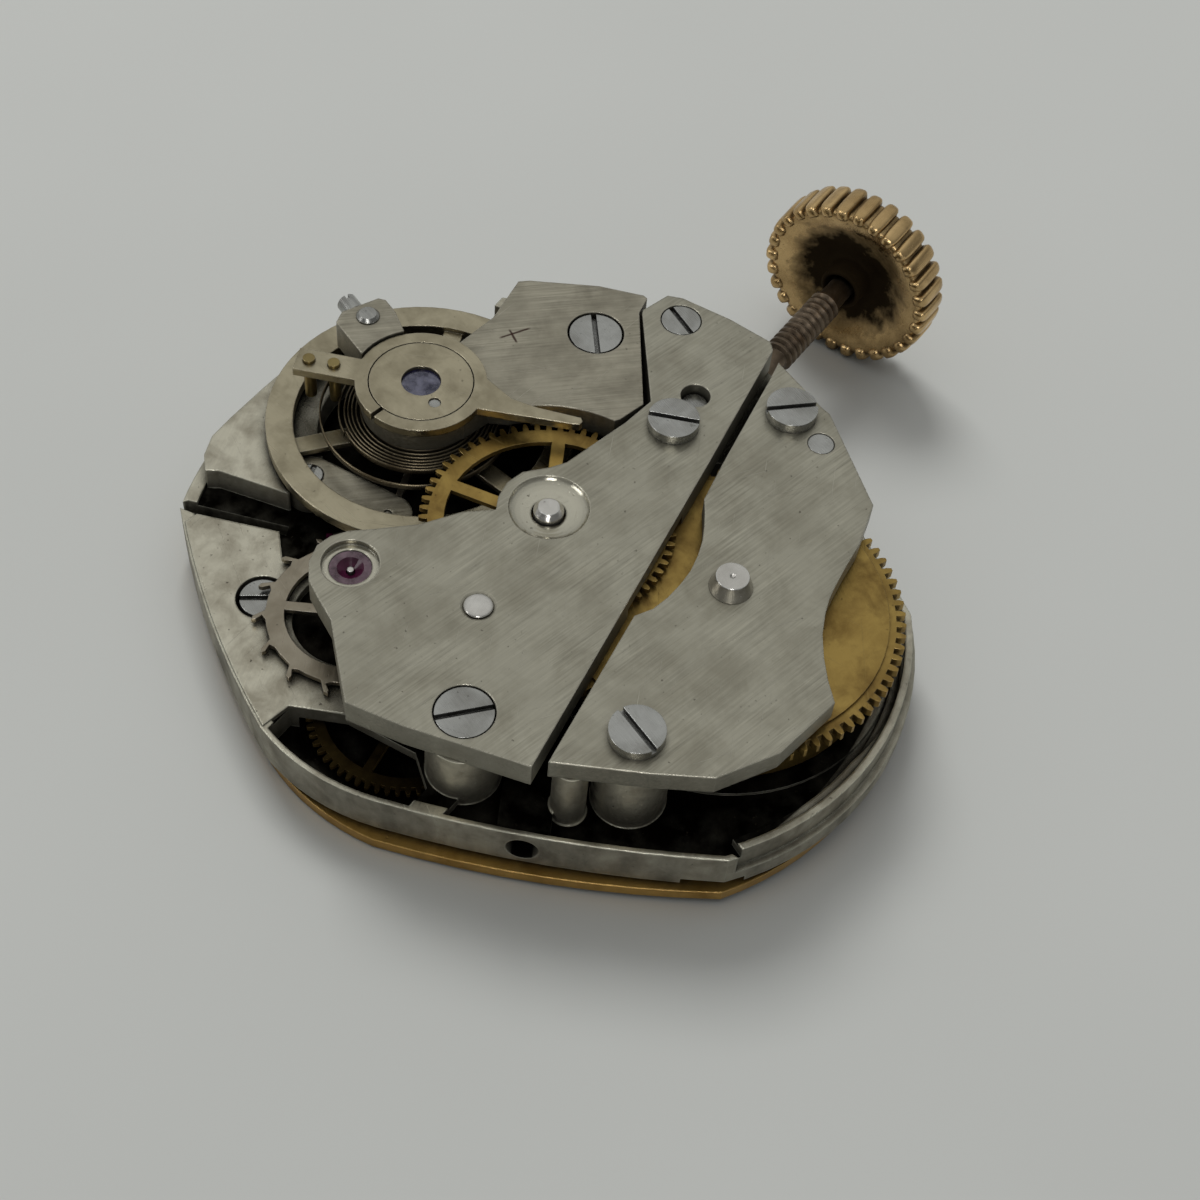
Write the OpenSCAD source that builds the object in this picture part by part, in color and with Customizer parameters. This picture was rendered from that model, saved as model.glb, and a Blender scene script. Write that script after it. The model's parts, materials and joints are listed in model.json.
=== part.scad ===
// Small hand-wound watch movement, lying dial side down with its bridges up.
// Millimetres. Z = 0 is the face of the main plate that the dial seats on.
// +X points to the crown, +Y to the balance, +Z to the bridges.

/* [Which piece] */
// piece to show

/* [Plate and dial] */
// centre to the three o'clock side
plate_half_w = 8.45; // [8.4:0.05:8.6]
// centre to the six o'clock side
plate_half_h = 9.85; // [9.75:0.05:10]
// height of the plate floor above the dial seat
plate_t = 1.2; // [1.15:0.05:1.3]
// height of the rim above the dial seat
rim_h = 1.3; // [1.25:0.01:1.36]
// rim wall beside the pockets
rim_wall = 0.32; // [0.25:0.01:0.45]
// dial thickness
dial_t = 0.32; // [0.25:0.01:0.5]
// rim wall of the low ground by the left front corner and by the window
thin_wall = 0.13; // [0.12:0.01:0.2]
// rim wall along the front side
front_wall = 0.5; // [0.4:0.05:0.55]
// depth and height of the shadow groove between plate and dial
rebate = 0.13; // [0.08:0.01:0.16]
// dial foot radius
foot_r = 0.35; // [0.3:0.01:0.4]
// dial foot length
foot_len = 1.05; // [0.95:0.05:1.1]
// radius of the rim hole for a dial foot screw
foot_hole_r = 0.39; // [0.3:0.01:0.42]

/* [Bridges] */
// top face of every bridge
bridge_top = 3.5; // [3.45:0.01:3.7]
// train bridge and balance cock thickness
train_bridge_t = 0.75; // [0.7:0.01:0.8]
// barrel bridge thickness
barrel_bridge_t = 0.6; // [0.55:0.01:0.62]
// depth of the sink under the train bridge for the centre wheel
centre_sink_d = 0.33; // [0.3:0.01:0.4]
// pillar radius under the bridge screws
pillar_r = 0.9; // [0.75:0.05:1]
// polished sink round the centre arbor
arbor_sink_r = 1; // [0.8:0.05:1.1]
// steady pin radius
steady_r = 0.34; // [0.3:0.01:0.38]

/* [Screws] */
// raised bridge screw head radius
bridge_head_r = 0.66; // [0.55:0.01:0.75]
// raised bridge screw head height
bridge_head_h = 0.3; // [0.2:0.01:0.4]
// flush bridge screw head radius
flush_head_r = 0.69; // [0.6:0.01:0.74]
// small screw head radius
small_head_r = 0.52; // [0.4:0.01:0.6]
// bridge screw shank radius
shank_r = 0.26; // [0.2:0.01:0.28]
// screwdriver slot width
slot_w = 0.14; // [0.1:0.01:0.2]
// screwdriver slot depth
slot_d = 0.14; // [0.1:0.01:0.18]

/* [Barrel and winding] */
// barrel teeth
barrel_teeth = 80; // [78:1:82]
// barrel drum radius
drum_r = 3.85; // [3.6:0.05:3.9]
// height of the barrel's toothed ring
ring_h = 0.32; // [0.25:0.01:0.4]
// barrel arbor radius
barrel_arbor_r = 0.8; // [0.6:0.05:0.9]
// mainspring strip thickness
mainspring_t = 0.1; // [0.06:0.01:0.1]
// mainspring turns
mainspring_turns = 4.5; // [3:0.5:4.5]
// crown wheel teeth
crown_wheel_teeth = 32; // [32:1:32]
// ratchet wheel teeth
ratchet_teeth = 56; // [56:1:56]
// winding pinion teeth
winding_teeth = 14; // [14:1:14]
// tooth size of the winding wheels, pitch diameter over teeth
winding_module = 0.11875; // [0.117:0.0005:0.12]

/* [Going train] */
// centre wheel teeth
centre_teeth = 64; // [64:1:64]
// third wheel teeth
third_teeth = 60; // [60:1:60]
// fourth wheel teeth
fourth_teeth = 60; // [60:1:60]
// centre pinion leaves
centre_leaves = 12; // [12:1:12]
// third and fourth pinion leaves
train_leaves = 8; // [8:1:8]
// escape pinion leaves
escape_leaves = 6; // [6:1:6]
// train wheel thickness
wheel_t = 0.14; // [0.1:0.01:0.16]
// arbor radius between pinion and pivots
arbor_r = 0.16; // [0.12:0.01:0.2]
// pivot radius
pivot_r = 0.08; // [0.05:0.01:0.1]
// escape wheel radius over the tooth tips
escape_r = 2.46; // [2.4:0.01:2.5]

/* [Balance and regulator] */
// balance wheel radius
balance_r = 4; // [3.8:0.05:4.05]
// balance rim width
balance_rim_w = 0.7; // [0.5:0.05:0.8]
// balance rim height
balance_rim_h = 0.3; // [0.2:0.01:0.33]
// hairspring outer radius
hairspring_r = 2.6; // [2.5:0.02:2.64]
// hairspring strip thickness
hairspring_t = 0.05; // [0.03:0.01:0.06]
// hairspring turns
hairspring_turns = 4.5; // [3:0.5:4.5]
// cap jewel setting radius
cap_r = 1.32; // [1.2:0.01:1.35]
// cap jewel radius
cap_jewel_r = 0.5; // [0.4:0.01:0.6]
// regulator ring outer radius
regulator_r = 1.68; // [1.6:0.01:1.75]
// regulator thickness
regulator_t = 0.24; // [0.18:0.01:0.3]
// curb pin radius
curb_r = 0.17; // [0.12:0.01:0.2]

/* [Motion work] */
// cannon pinion leaves
cannon_leaves = 10; // [10:1:10]
// minute wheel teeth
minute_teeth = 30; // [30:1:30]
// minute pinion leaves
minute_leaves = 8; // [8:1:8]
// hour wheel teeth
hour_teeth = 32; // [32:1:32]
// setting wheel teeth
setting_teeth = 18; // [18:1:18]
// centre to minute wheel distance
minute_distance = 1.55; // [1.54:0.005:1.57]
// hour wheel pipe radius inside the dial
hour_pipe_r = 0.86; // [0.8:0.01:0.9]
// hour hand seat radius
hour_seat_r = 0.7; // [0.64:0.01:0.76]
// hour pipe reach past the dial face
hour_reach = 0.16; // [0.12:0.01:0.5]
// cannon pinion pipe radius
cannon_pipe_r = 0.52; // [0.48:0.01:0.52]
// minute hand seat reach past the hour pipe
minute_reach = 0.2; // [0.15:0.01:0.5]
// minute hand seat radius
minute_seat_r = 0.36; // [0.3:0.01:0.38]

/* [Stem and crown] */
// stem axis height above the dial seat
stem_z = 1.4; // [1.4:0.01:1.42]
// stem radius in the plate
stem_r = 0.45; // [0.4:0.01:0.46]
// stem pull for setting
stem_pull = 0.45; // [0.3:0.05:0.5]
// start of the stem thread, from the centre
thread_start = 9.6; // [9.3:0.05:9.8]
// thread turns that show
thread_turns = 11; // [8:1:13]
// crown radius over the flutes
crown_r = 2.62; // [2.2:0.02:2.8]
// crown flutes
crown_flutes = 30; // [20:1:36]
// crown back edge, from the centre
crown_back = 13.3; // [13:0.05:13.6]
// crown thickness
crown_t = 1.25; // [1:0.05:1.5]
// depth of the dish in the crown's back
crown_dish = 0.45; // [0.3:0.05:0.55]
// radius of the crown's hub
hub_r = 0.62; // [0.55:0.01:0.8]

/* [Fits] */
// running clearance of pivots and bores
run_fit = 0.03; // [0.02:0.005:0.04]
// clearance round wheels in the plate
wheel_gap = 0.15; // [0.12:0.01:0.2]

/* [Hidden] */
$fn = 48;
eps = 0.01;

// stations in plan
centre_at = [0, 0];
barrel_at = [0.7, -4.85];
third_at = [-3.44, -0.45];
fourth_at = [-5.25, 0.26];
escape_at = [-4.3, 2.7];
balance_at = [1.16, 4.86];
stem_y = -0.87;
train_flush_at = [-6, -2];
train_raised_at = [4.1, -0.9];
train_steady_at = [5.31, -0.79];
barrel_left_at = [-4.17, -5.46];
barrel_right_at = [6.3, -3.07];
barrel_steady_at = [5.93, -4.2];
barrel_post_at = [-5.35, -4.55];
cock_screw_at = [5.53, 2.5];
cock_steady_at = [6.35, 3.6];
lever_screw_at = [7.33, 1];
pad_screw_at = [-5.2, 4.84];
foot_at = [-5.65, -3.63];
foot_dir = 210.4;
foot_hole_z = 0.68;

// heights
bridge_under = bridge_top - train_bridge_t;
barrel_bridge_under = bridge_top - barrel_bridge_t;
pad_top = 1.34;
raised_pad_top = 1.9;
centre_wheel_z = 2.84;
ring_z = bridge_under - ring_h;
drum_floor_z = 1.12;
barrel_pocket_z = 1.05;
front_floor_z = 0.95;
third_wheel_z = 1.66;
fourth_wheel_z = 0.6;
escape_wheel_z = 1.42;
balance_z = 2.08;
hairspring_z = 2.52;
hairspring_h = 0.18;
regulator_z = bridge_top + 0.02;
cap_top = regulator_z + regulator_t;
cap_plate_z = 0.1;
cap_plate_t = 0.32;
winding_wheel_z = 0.3;
winding_wheel_t = 0.28;
setting_wheel_z = 0.65;
cover_t = 0.12;
cover_head_r = 0.34;
cover_head_h = 0.06;

// tooth sizes and wheel radii
function dist(a, b) = norm(b - a);
function dir(a, b) = atan2(b[1] - a[1], b[0] - a[0]);
function polar(r, a) = [r * cos(a), r * sin(a)];
barrel_module = 2 * dist(centre_at, barrel_at) / (barrel_teeth + centre_leaves);
centre_module = 2 * dist(centre_at, third_at) / (centre_teeth + train_leaves);
third_module = 2 * dist(third_at, fourth_at) / (third_teeth + train_leaves);
fourth_module = 2 * dist(fourth_at, escape_at) / (fourth_teeth + escape_leaves);
barrel_pitch_r = barrel_module * barrel_teeth / 2;
centre_pitch_r = centre_module * centre_teeth / 2;
third_pitch_r = third_module * third_teeth / 2;
fourth_pitch_r = fourth_module * fourth_teeth / 2;
crown_wheel_r = winding_module * crown_wheel_teeth / 2;
ratchet_r = winding_module * ratchet_teeth / 2;
winding_r = winding_module * winding_teeth / 2;
crown_wheel_x = barrel_at[0] + sqrt(pow(crown_wheel_r + ratchet_r, 2) - pow(stem_y - barrel_at[1], 2));
crown_wheel_at = [crown_wheel_x, stem_y];
winding_x = crown_wheel_x + crown_wheel_r;
motion_module = 2 * minute_distance / (cannon_leaves + minute_teeth);
setting_r = motion_module * setting_teeth / 2;
setting_x = 3.12;
setting_at = [setting_x, stem_y];
minute_to_setting = motion_module * (minute_teeth + setting_teeth) / 2;
setting_dist = norm(setting_at);
minute_along = (pow(minute_distance, 2) - pow(minute_to_setting, 2) + pow(setting_dist, 2)) / (2 * setting_dist);
minute_across = sqrt(pow(minute_distance, 2) - pow(minute_along, 2));
setting_dir = dir(centre_at, setting_at);
minute_at = polar(minute_along, setting_dir) + polar(minute_across, setting_dir + 90);
fork_dir = dir(escape_at, balance_at);
fork_at = escape_at + polar(escape_r * 1.17, fork_dir);
fork_cock_at = fork_at + polar(2.35, 96);
stop_r = 0.5;
pin_orbit_r = 0.48;
clutch_x = 4.35;
clutch_len = 1.25;
clutch_r = 0.75;
clutch_groove_x = 4.92;
lever_groove_x = 7.02;
yoke_at = [5.1, 1.75];
click_at = barrel_at + polar(ratchet_r + 0.62, -36);
spring_foot_at = barrel_at + polar(ratchet_r + 0.5, -64);
yoke_spring_at = [3.6, 1.72];
hour_wheel_z = 0.2;
gold = [0.78, 0.62, 0.32];
nickel = [0.78, 0.77, 0.73];
steel = [0.66, 0.67, 0.7];
brass = [0.74, 0.6, 0.32];
ruby = [0.55, 0.08, 0.2];
tan_metal = [0.68, 0.63, 0.52];

// shared shapes

// points of a shallow arc from a to b that bows out by h, right of travel
function bow(a, b, h, n) =
    let (d = b - a, len = norm(d), u = d / len, out = [u[1], -u[0]])
    let (r = (len * len / 4 + h * h) / (2 * h), c = (a + b) / 2 + out * (h - r), half = asin(len / 2 / r))
    [for (i = [0 : n - 1]) c + r * (out * cos(half * (2 * i / n - 1)) + u * sin(half * (2 * i / n - 1)))];

right_x = plate_half_w - 0.2;
left_x = plate_half_w - 0.35;
side_y = 1.95;
back_x = 4.3;
back_y = plate_half_h - 1.5;
front_x = 4.4;
front_y = plate_half_h - 1.45;
outline_pts = concat(
    bow([right_x, -side_y], [right_x, side_y], 0.2, 8),
    bow([right_x, side_y], [back_x, back_y], 0.22, 8),
    bow([back_x, back_y], [-back_x, back_y], 0.95, 16),
    bow([-back_x, back_y], [-left_x, 2.4], 0.25, 8),
    bow([-left_x, 2.4], [0.05 - left_x, -1], 0.27, 8),
    bow([0.05 - left_x, -1], [-front_x, -front_y], 0.25, 8),
    bow([-front_x, -front_y], [front_x, -front_y], 1.45, 16),
    bow([front_x, -front_y], [right_x, -side_y], 0.1, 8));

// the dial passes the plate at the left front corner only
dial_pts = concat(
    bow([right_x - 0.05, -side_y], [right_x - 0.05, side_y], 0.15, 8),
    bow([right_x - 0.05, side_y], [back_x - 0.05, back_y - 0.05], 0.22, 8),
    bow([back_x - 0.05, back_y - 0.05], [0.05 - back_x, back_y - 0.05], 0.9, 16),
    bow([0.05 - back_x, back_y - 0.05], [0.1 - left_x, 2.3], 0.22, 8),
    bow([0.1 - left_x, 2.3], [-left_x - 0.2, -1.1], 0.25, 8),
    bow([-left_x - 0.2, -1.1], [-front_x - 0.1, -front_y - 0.05], 0.3, 8),
    bow([-front_x - 0.1, -front_y - 0.05], [front_x - 0.1, 0.1 - front_y], 1.3, 16),
    bow([front_x - 0.1, 0.1 - front_y], [right_x - 0.05, -side_y], 0.1, 8));

module plate_outline(grow = 0) {
    scale(1 + grow / plate_half_w)
        polygon(outline_pts);
}

module at(p, z = 0) {
    translate([p[0], p[1], z])
        children();
}

module disc(p, r, z0, z1) {
    at(p, z0)
        cylinder(r = r, h = z1 - z0);
}

// toothed outline: root, pitch and tip points on each flank
function gear_pts(n, m, phase, add = 1, ded = 1.25, width = 0.23) =
    let (rp = n * m / 2, ra = rp + add * m, rd = rp - ded * m, p = 360 / n)
    [for (i = [0 : n - 1]) let (a = phase + i * p)
        each [polar(rd, a - 0.26 * p), polar(rp, a - width * p), polar(ra, a - 0.11 * p),
            polar(ra, a + 0.11 * p), polar(rp, a + width * p), polar(rd, a + 0.26 * p)]];

module gear(n, m, phase, add = 1, ded = 1.25) {
    polygon(gear_pts(n, m, phase, add, ded));
}

// windows between the arms of a wheel
module windows(arms, hub_r, rim_r, arm_w, phase) {
    difference() {
        circle(r = rim_r);
        circle(r = hub_r);
        for (i = [0 : arms - 1])
            rotate(phase + i * 360 / arms)
                translate([0, -arm_w / 2])
                    square([rim_r + 1, arm_w]);
    }
}

// wheel on its arbor: teeth, arms and bore
module wheel(p, z, t, n, m, phase, arms, hub_r, rim_w, arm_w, arm_phase, bore) {
    at(p, z)
        linear_extrude(t)
            difference() {
                gear(n, m, phase);
                windows(arms, hub_r, n * m / 2 - 1.25 * m - rim_w, arm_w, arm_phase);
                circle(r = bore);
            }
}

// slotted screw standing in a hole along Z, head top at z_top
module screw(p, head_r, head_h, z_top, z_end, shank, slot_angle) {
    cut = min(slot_d, 0.6 * head_h);
    difference() {
        union() {
            disc(p, head_r, z_top - head_h, z_top);
            disc(p, shank, z_end, z_top - head_h + eps);
        }
        at(p, z_top - cut)
            rotate(slot_angle)
                translate([-head_r - 1, -slot_w / 2, 0])
                    cube([2 * head_r + 2, slot_w, cut + 1]);
    }
}

// flat spiral strip as one closed outline, level over its last sixty degrees
function spiral_r(r0, r1, i, n) = r0 + (r1 - r0) * min(1, i / (n - 4));
function spiral_pts(r0, r1, turns, w, phase) =
    let (n = round(turns * 24))
    concat([for (i = [0 : n]) polar(spiral_r(r0, r1, i, n) + w / 2, phase - 15 * i)],
        [for (i = [n : -1 : 0]) polar(spiral_r(r0, r1, i, n) - w / 2, phase - 15 * i)]);

// least gap between neighbouring turns, from the strip's own points
function spiral_gap(r0, r1, turns, w, phase) =
    let (n = round(turns * 24), pts = spiral_pts(r0, r1, turns, w, phase))
    min([for (i = [0 : n - 24], j = [20 : 28]) if (i + j <= n) norm(pts[2 * n + 1 - i - j] - pts[i])]);

module sector_ring(r_out, r_in, a0, a1) {
    n = 24;
    polygon(concat([for (i = [0 : n]) polar(r_out, a0 + (a1 - a0) * i / n)],
        [for (i = [n : -1 : 0]) polar(r_in, a0 + (a1 - a0) * i / n)]));
}

// flat arm with rounded ends between two points
module arm(a, b, w) {
    l = dist(a, b);
    translate(a)
        rotate(dir(a, b))
            translate([0, -w / 2])
                square([l, w]);
    translate(a)
        circle(r = w / 2);
    translate(b)
        circle(r = w / 2);
}

// plate and bridges

pad_pts = [[-4.15, 7.85], [-3.28, 5.95], [-4, 5.22], [-2.9, 3.6], [-2.9, 1], [-6.6, 1], [-7.25, 2.25], [-9.5, 2.6], [-9.5, 9]];
raised_pad_pts = [[-3.32, 8.31], [-3.12, 8.03], [-2.62, 6.2], [-0.9, 4.9], [3.6, 7.4], [3.8, 8.25], [2.4, 8.8],
    [1, 9], [-0.23, 9.02], [-1.6, 8.99], [-2.35, 8.94], [-2.96, 8.67]];
groove_pts = [[-4.35, 8.6], [-3.98, 8.35], [-3.02, 5.85], [-3.3, 5.7], [-4.2, 7.85]];
window_pts = [[-7.25, 2.25], [-6.6, 1], [-6.4, -0.9], [-7, -1.7], [-8.4, -1.7], [-8.8, 0], [-8.4, 2.25]];
boss_pts = [[3.9, -0.1], [3.15, -0.3], [3.15, -1.6], [3.6, -3], [6, -6.4], [9.5, -4], [9.5, 4.2], [6.9, 5.7], [5.2, 5.6], [4.7, 4.4], [4.9, 1.2]];
corner_pts = [[-9.5, -2.45], [-3, -2.45], [-2, -4], [-3.7, -7.9], [-4.4, -9.5], [-9.5, -9.5]];
front_pts = [[-2, -4], [4, -4], [6.6, -6], [6.6, -10], [-4.6, -10], [-4.1, -8.4], [-3.7, -7.9]];
keyless_pts = [[3.62, -1.85], [3.62, 0.12], [6.35, 0.12], [6.35, -1.85]];

module plate_2d(wall) {
    scale(1 - wall / plate_half_w)
        polygon(outline_pts);
}

module main_plate() {
    color(nickel)
    difference() {
        union() {
            linear_extrude(plate_t)
                plate_outline();
            linear_extrude(rim_h)
                difference() {
                    plate_outline();
                    plate_2d(rim_wall);
                }
            linear_extrude(pad_top)
                intersection() {
                    plate_2d(0.06);
                    polygon(pad_pts);
                }
            difference() {
                linear_extrude(raised_pad_top)
                    intersection() {
                        plate_2d(0.02);
                        polygon(raised_pad_pts);
                    }
                disc(balance_at, 2.7, plate_t, 4);
                translate([0, 0, plate_t])
                    linear_extrude(2)
                        arm(fork_at, fork_cock_at, 1.4);
            }
            linear_extrude(bridge_under)
                intersection() {
                    plate_2d(0.5);
                    polygon(boss_pts);
                }
        }
        // barrel pocket and the low ground along the front rim
        disc(barrel_at, barrel_pitch_r + barrel_module + wheel_gap, barrel_pocket_z, 4);
        translate([0, 0, front_floor_z])
            linear_extrude(3)
                difference() {
                    union() {
                        intersection() {
                            plate_2d(thin_wall);
                            polygon(corner_pts);
                        }
                        intersection() {
                            plate_2d(front_wall);
                            polygon(front_pts);
                        }
                    }
                    translate(barrel_at)
                        circle(r = barrel_pitch_r);
                }
        // balance pocket, clear of the rim
        disc(balance_at, balance_r + 0.2, raised_pad_top, 4);
        disc(balance_at, 1, plate_t - 0.35, 4);
        // pallet and escape sinks in the pad
        disc(escape_at, 1.5, plate_t - 0.12, plate_t + 1);
        translate([0, 0, 0.8])
            linear_extrude(3)
                polygon(groove_pts);
        // open window over the fourth wheel
        translate([0, 0, fourth_wheel_z - 0.12])
            linear_extrude(3)
                intersection() {
                    plate_2d(thin_wall);
                    polygon(window_pts);
                }
        // dial side pocket and cap seat of the fourth and escape arbors
        disc(fourth_at, fourth_pitch_r + fourth_module + wheel_gap, -1, 0.9);
        translate([0, 0, -1])
            linear_extrude(1 + cap_plate_z + cap_plate_t)
                cap_outline(0.04);
        disc(escape_at, 0.5, -1, 0.9);
        disc(escape_at, arbor_r + 0.1, -1, 4);
        disc(fourth_at, 0.42, -1, 4);
        // centre, third and pallet pivots
        disc(centre_at, 0.26 + run_fit, -1, 4);
        disc(third_at, pivot_r + run_fit, 0.5, 4);
        disc(fork_at, pivot_r + run_fit, 0.7, 4);
        // lower balance jewels
        disc(balance_at, 0.56, -1, 2);
        // barrel arbor
        disc(barrel_at, 0.55 + run_fit, -1, 2);
        // winding wheels on the dial side
        disc(barrel_at, ratchet_r + winding_module + wheel_gap, -1, 0.62);
        disc(crown_wheel_at, crown_wheel_r + winding_module + wheel_gap, -1, 0.64);
        disc(click_at, 0.62, -1, 0.62);
        at(barrel_at, -1)
            linear_extrude(1.62)
                sector_ring(ratchet_r + 0.85, ratchet_r, -72, -30);
        // motion work and yoke pocket
        disc(centre_at, motion_module * (hour_teeth / 2 + 1) + 0.1, -1, 0.44);
        translate([0, 0, -1])
            linear_extrude(1.86)
                motion_pocket();
        // stem passage, with the room for clutch and winding pinion
        translate([0, 0, -1])
            linear_extrude(1 + stem_z + 0.98)
                polygon(keyless_pts);
        along_stem(3.27)
            cylinder(r = 0.26 + run_fit, h = 1);
        along_stem(6)
            cylinder(r = stem_r + run_fit, h = 5);
        // setting lever pocket, its screw and the way up to the stem groove
        translate([0, 0, -1])
            linear_extrude(1.5)
                lever_pocket();
        disc([lever_groove_x + 0.2, stem_y], 0.42, -1, stem_z);
        disc(lever_screw_at, 0.2 + run_fit, -1, 4);
        // cover seat and screw holes
        translate([0, 0, -1])
            linear_extrude(1 + cover_t + 0.02)
                cover_outline(0.01);
        for (p = concat(cover_screws_at, cap_screws_at))
            disc(p, 0.17, -1, 0.88);
        disc(fork_cock_at, 0.2, 0.7, 4);
        disc(click_at, 0.2, -1, 0.92);
        // round screw in the left pad
        disc(pad_screw_at, 0.66, pad_top - 0.3, 4);
        disc(pad_screw_at, 0.22, 0.5, 4);
        // bridge screws and steady pins in the boss
        disc(barrel_right_at, shank_r + 0.02, 1.6, 4);
        disc(barrel_steady_at, steady_r, 1.8, 4);
        disc(train_raised_at, shank_r + 0.02, stem_z + 0.98, 4);
        disc(train_steady_at, steady_r, stem_z + 1.05, 4);
        disc(cock_screw_at, shank_r + 0.02, 1.4, 4);
        disc(cock_steady_at, steady_r, 1.8, 4);
        // dial feet and their side screws
        for (s = [1, -1]) {
            disc(foot_at * s, foot_r + 0.02, -1, foot_len + 0.02);
            at(foot_at * s, foot_hole_z)
                rotate([0, 90, foot_dir + (s > 0 ? 0 : 180)])
                    cylinder(r = foot_hole_r, h = 3);
        }
        // prising notch between plate and dial
        translate([-4.35, -8.05, -1])
            rotate(-58)
                translate([-0.75, -0.45, 0])
                    cube([1.5, 0.9, 1.3]);
        // case ledge along the crown side front corner
        translate([0, 0, 0.62])
            linear_extrude(3)
                difference() {
                    intersection() {
                        plate_outline(1);
                        polygon([[-4.2, -7], [6.5, -3.5], [12, -3.5], [12, -12], [-4.2, -12]]);
                    }
                    plate_2d(0.16);
                }
        // shadow groove round the dial seat
        translate([0, 0, -1])
            linear_extrude(1 + rebate)
                difference() {
                    plate_outline(1);
                    plate_2d(rebate);
                }
    }
    color(nickel)
    difference() {
        for (p = [train_flush_at, barrel_left_at])
            disc(p, pillar_r, 0.6, p == train_flush_at ? bridge_under : barrel_bridge_under);
        disc(barrel_at, barrel_pitch_r + barrel_module + 0.08, 0, 4);
        disc(train_flush_at, shank_r + 0.02, 1.2, 4);
        disc(barrel_left_at, shank_r + 0.02, 1.2, 4);
        disc(fourth_at, fourth_pitch_r + fourth_module + wheel_gap, -1, 0.9);
    }
    color(nickel) {
        disc(barrel_post_at, 0.42, 0.6, barrel_bridge_under);
        difference() {
            translate([0, 0, 0.6])
                linear_extrude(plate_t - 0.6)
                    intersection() {
                        plate_outline();
                        arm(foot_at, foot_at + polar(1.3, foot_dir), 1.24);
                    }
            disc(foot_at, foot_r + 0.02, 0, foot_len + 0.02);
            at(foot_at, foot_hole_z)
                rotate([0, 90, foot_dir])
                    cylinder(r = foot_hole_r, h = 3);
        }
        // studs of the setting and minute wheels, pads of the right bridges
        disc(setting_at, 0.2, setting_wheel_z - 0.02, 0.9);
        disc(minute_at, 0.12, 0.14, 0.9);
        disc(yoke_at, 0.2, setting_wheel_z - 0.02, 0.9);
        disc(yoke_spring_at, 0.1, setting_wheel_z - 0.02, 0.9);
    }
}

module motion_pocket() {
    circle(r = 0.68);
    translate(minute_at)
        circle(r = motion_module * (minute_teeth / 2 + 1) + wheel_gap);
    translate(setting_at)
        circle(r = setting_r + motion_module + wheel_gap);
    polygon([[2.6, -0.3], [4.7, -0.2], [5.5, -0.2], [5.8, 0.9], [5.95, 1.75], [5.75, 2.3], [5.3, 2.5], [4.8, 2.35],
        [3.9, 2.3], [3, 2.05]]);
}

module lever_pocket() {
    arm(lever_screw_at, [lever_groove_x, stem_y], 1.2);
    arm([lever_groove_x, stem_y], [lever_groove_x + 0.55, stem_y - 0.05], 1);
    arm(lever_screw_at, [6.2, 1.6], 0.8);
}

cap_screws_at = [[-4.99, -2.72], [-2.46, 1.3]];
module cap_outline(grow) {
    translate(fourth_at)
        circle(r = 2.72 + grow);
    translate(escape_at)
        circle(r = 0.75 + grow);
    for (p = cap_screws_at)
        translate(p)
            circle(r = 0.46 + grow);
}

cover_screws_at = [[7.2, -2.45], [3.2, 2.9]];
cover_pts = [[6.4, -2.95], [7.2, -3], [7.75, -2.3], [7.75, -1], [6.85, 0.5], [6.5, 1.5], [5.4, 2.3], [3.6, 3.4],
    [2.9, 3.4], [2.5, 2.5], [2.05, 1.3], [2.2, 0.2], [3.1, -1.6], [4.4, -1.95]];
module cover_outline(grow) {
    translate([5, 0])
        scale(1 + grow)
            translate([-5, 0])
                polygon(cover_pts);
}

train_bridge_pts = [[-4.36, 3.66], [-4.85, 3.5], [-5.29, 3.14], [-5.55, 2.65], [-5.86, 2], [-7.43, 0.29],
    [-7.14, -1.14], [-6.26, -4.07], [3.71, -2.29], [7.93, -1.5], [8.14, -1.29], [8.17, 0], [8.03, 1.43],
    [7.86, 1.79], [7, 2], [6.86, 1.93], [4.43, 0], [3.43, 0.1], [1.43, 0.5], [1.05, 0.72], [0.5, 1.17],
    [0, 1.27], [-0.5, 1.17], [-0.86, 0.97], [-1.43, 1.57], [-2.36, 2.14], [-3.17, 2.93], [-3.57, 3.35], [-3.95, 3.58]];

module train_bridge() {
    color(nickel)
    difference() {
        translate([0, 0, bridge_under])
            linear_extrude(train_bridge_t)
                polygon(train_bridge_pts);
        // sink for the centre wheel, open to the slot and to the balance
        disc(centre_at, centre_pitch_r + centre_module + wheel_gap, 0, bridge_under + centre_sink_d);
        // polished sink and bore of the centre arbor
        disc(centre_at, 0.4 + run_fit, 0, 5);
        at(centre_at, bridge_top)
            rotate_extrude()
                polygon(concat([[0, 0.1], [arbor_sink_r, 0.1]],
                    [for (i = [0 : 8]) [arbor_sink_r * cos(11.25 * i), -0.26 * sin(11.25 * i)]]));
        // third, fourth and escape pivots
        disc(third_at, centre_module * (train_leaves / 2 + 1) + 0.1, 0, bridge_under + centre_sink_d);
        disc(third_at, pivot_r + run_fit, 0, 5);
        at(third_at, bridge_top - 0.16)
            cylinder(r1 = 0.1, r2 = 0.46, h = 0.17);
        disc(fourth_at, pivot_r + run_fit, 0, bridge_top - 0.16);
        disc(escape_at, 0.52, 0, 5);
        disc(escape_at, 0.7, bridge_top - 0.16, 5);
        // screw seats
        disc(train_flush_at, shank_r + 0.04, 0, 5);
        disc(train_flush_at, flush_head_r + 0.04, bridge_top - 0.3, 5);
        disc(train_raised_at, shank_r + 0.04, 0, 5);
        disc(lever_screw_at, 0.2 + run_fit, 0, 5);
        disc(lever_screw_at, small_head_r + 0.03, bridge_top - 0.2, 5);
        disc(train_steady_at, steady_r + 0.05, 0, 5);
    }
}

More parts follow.
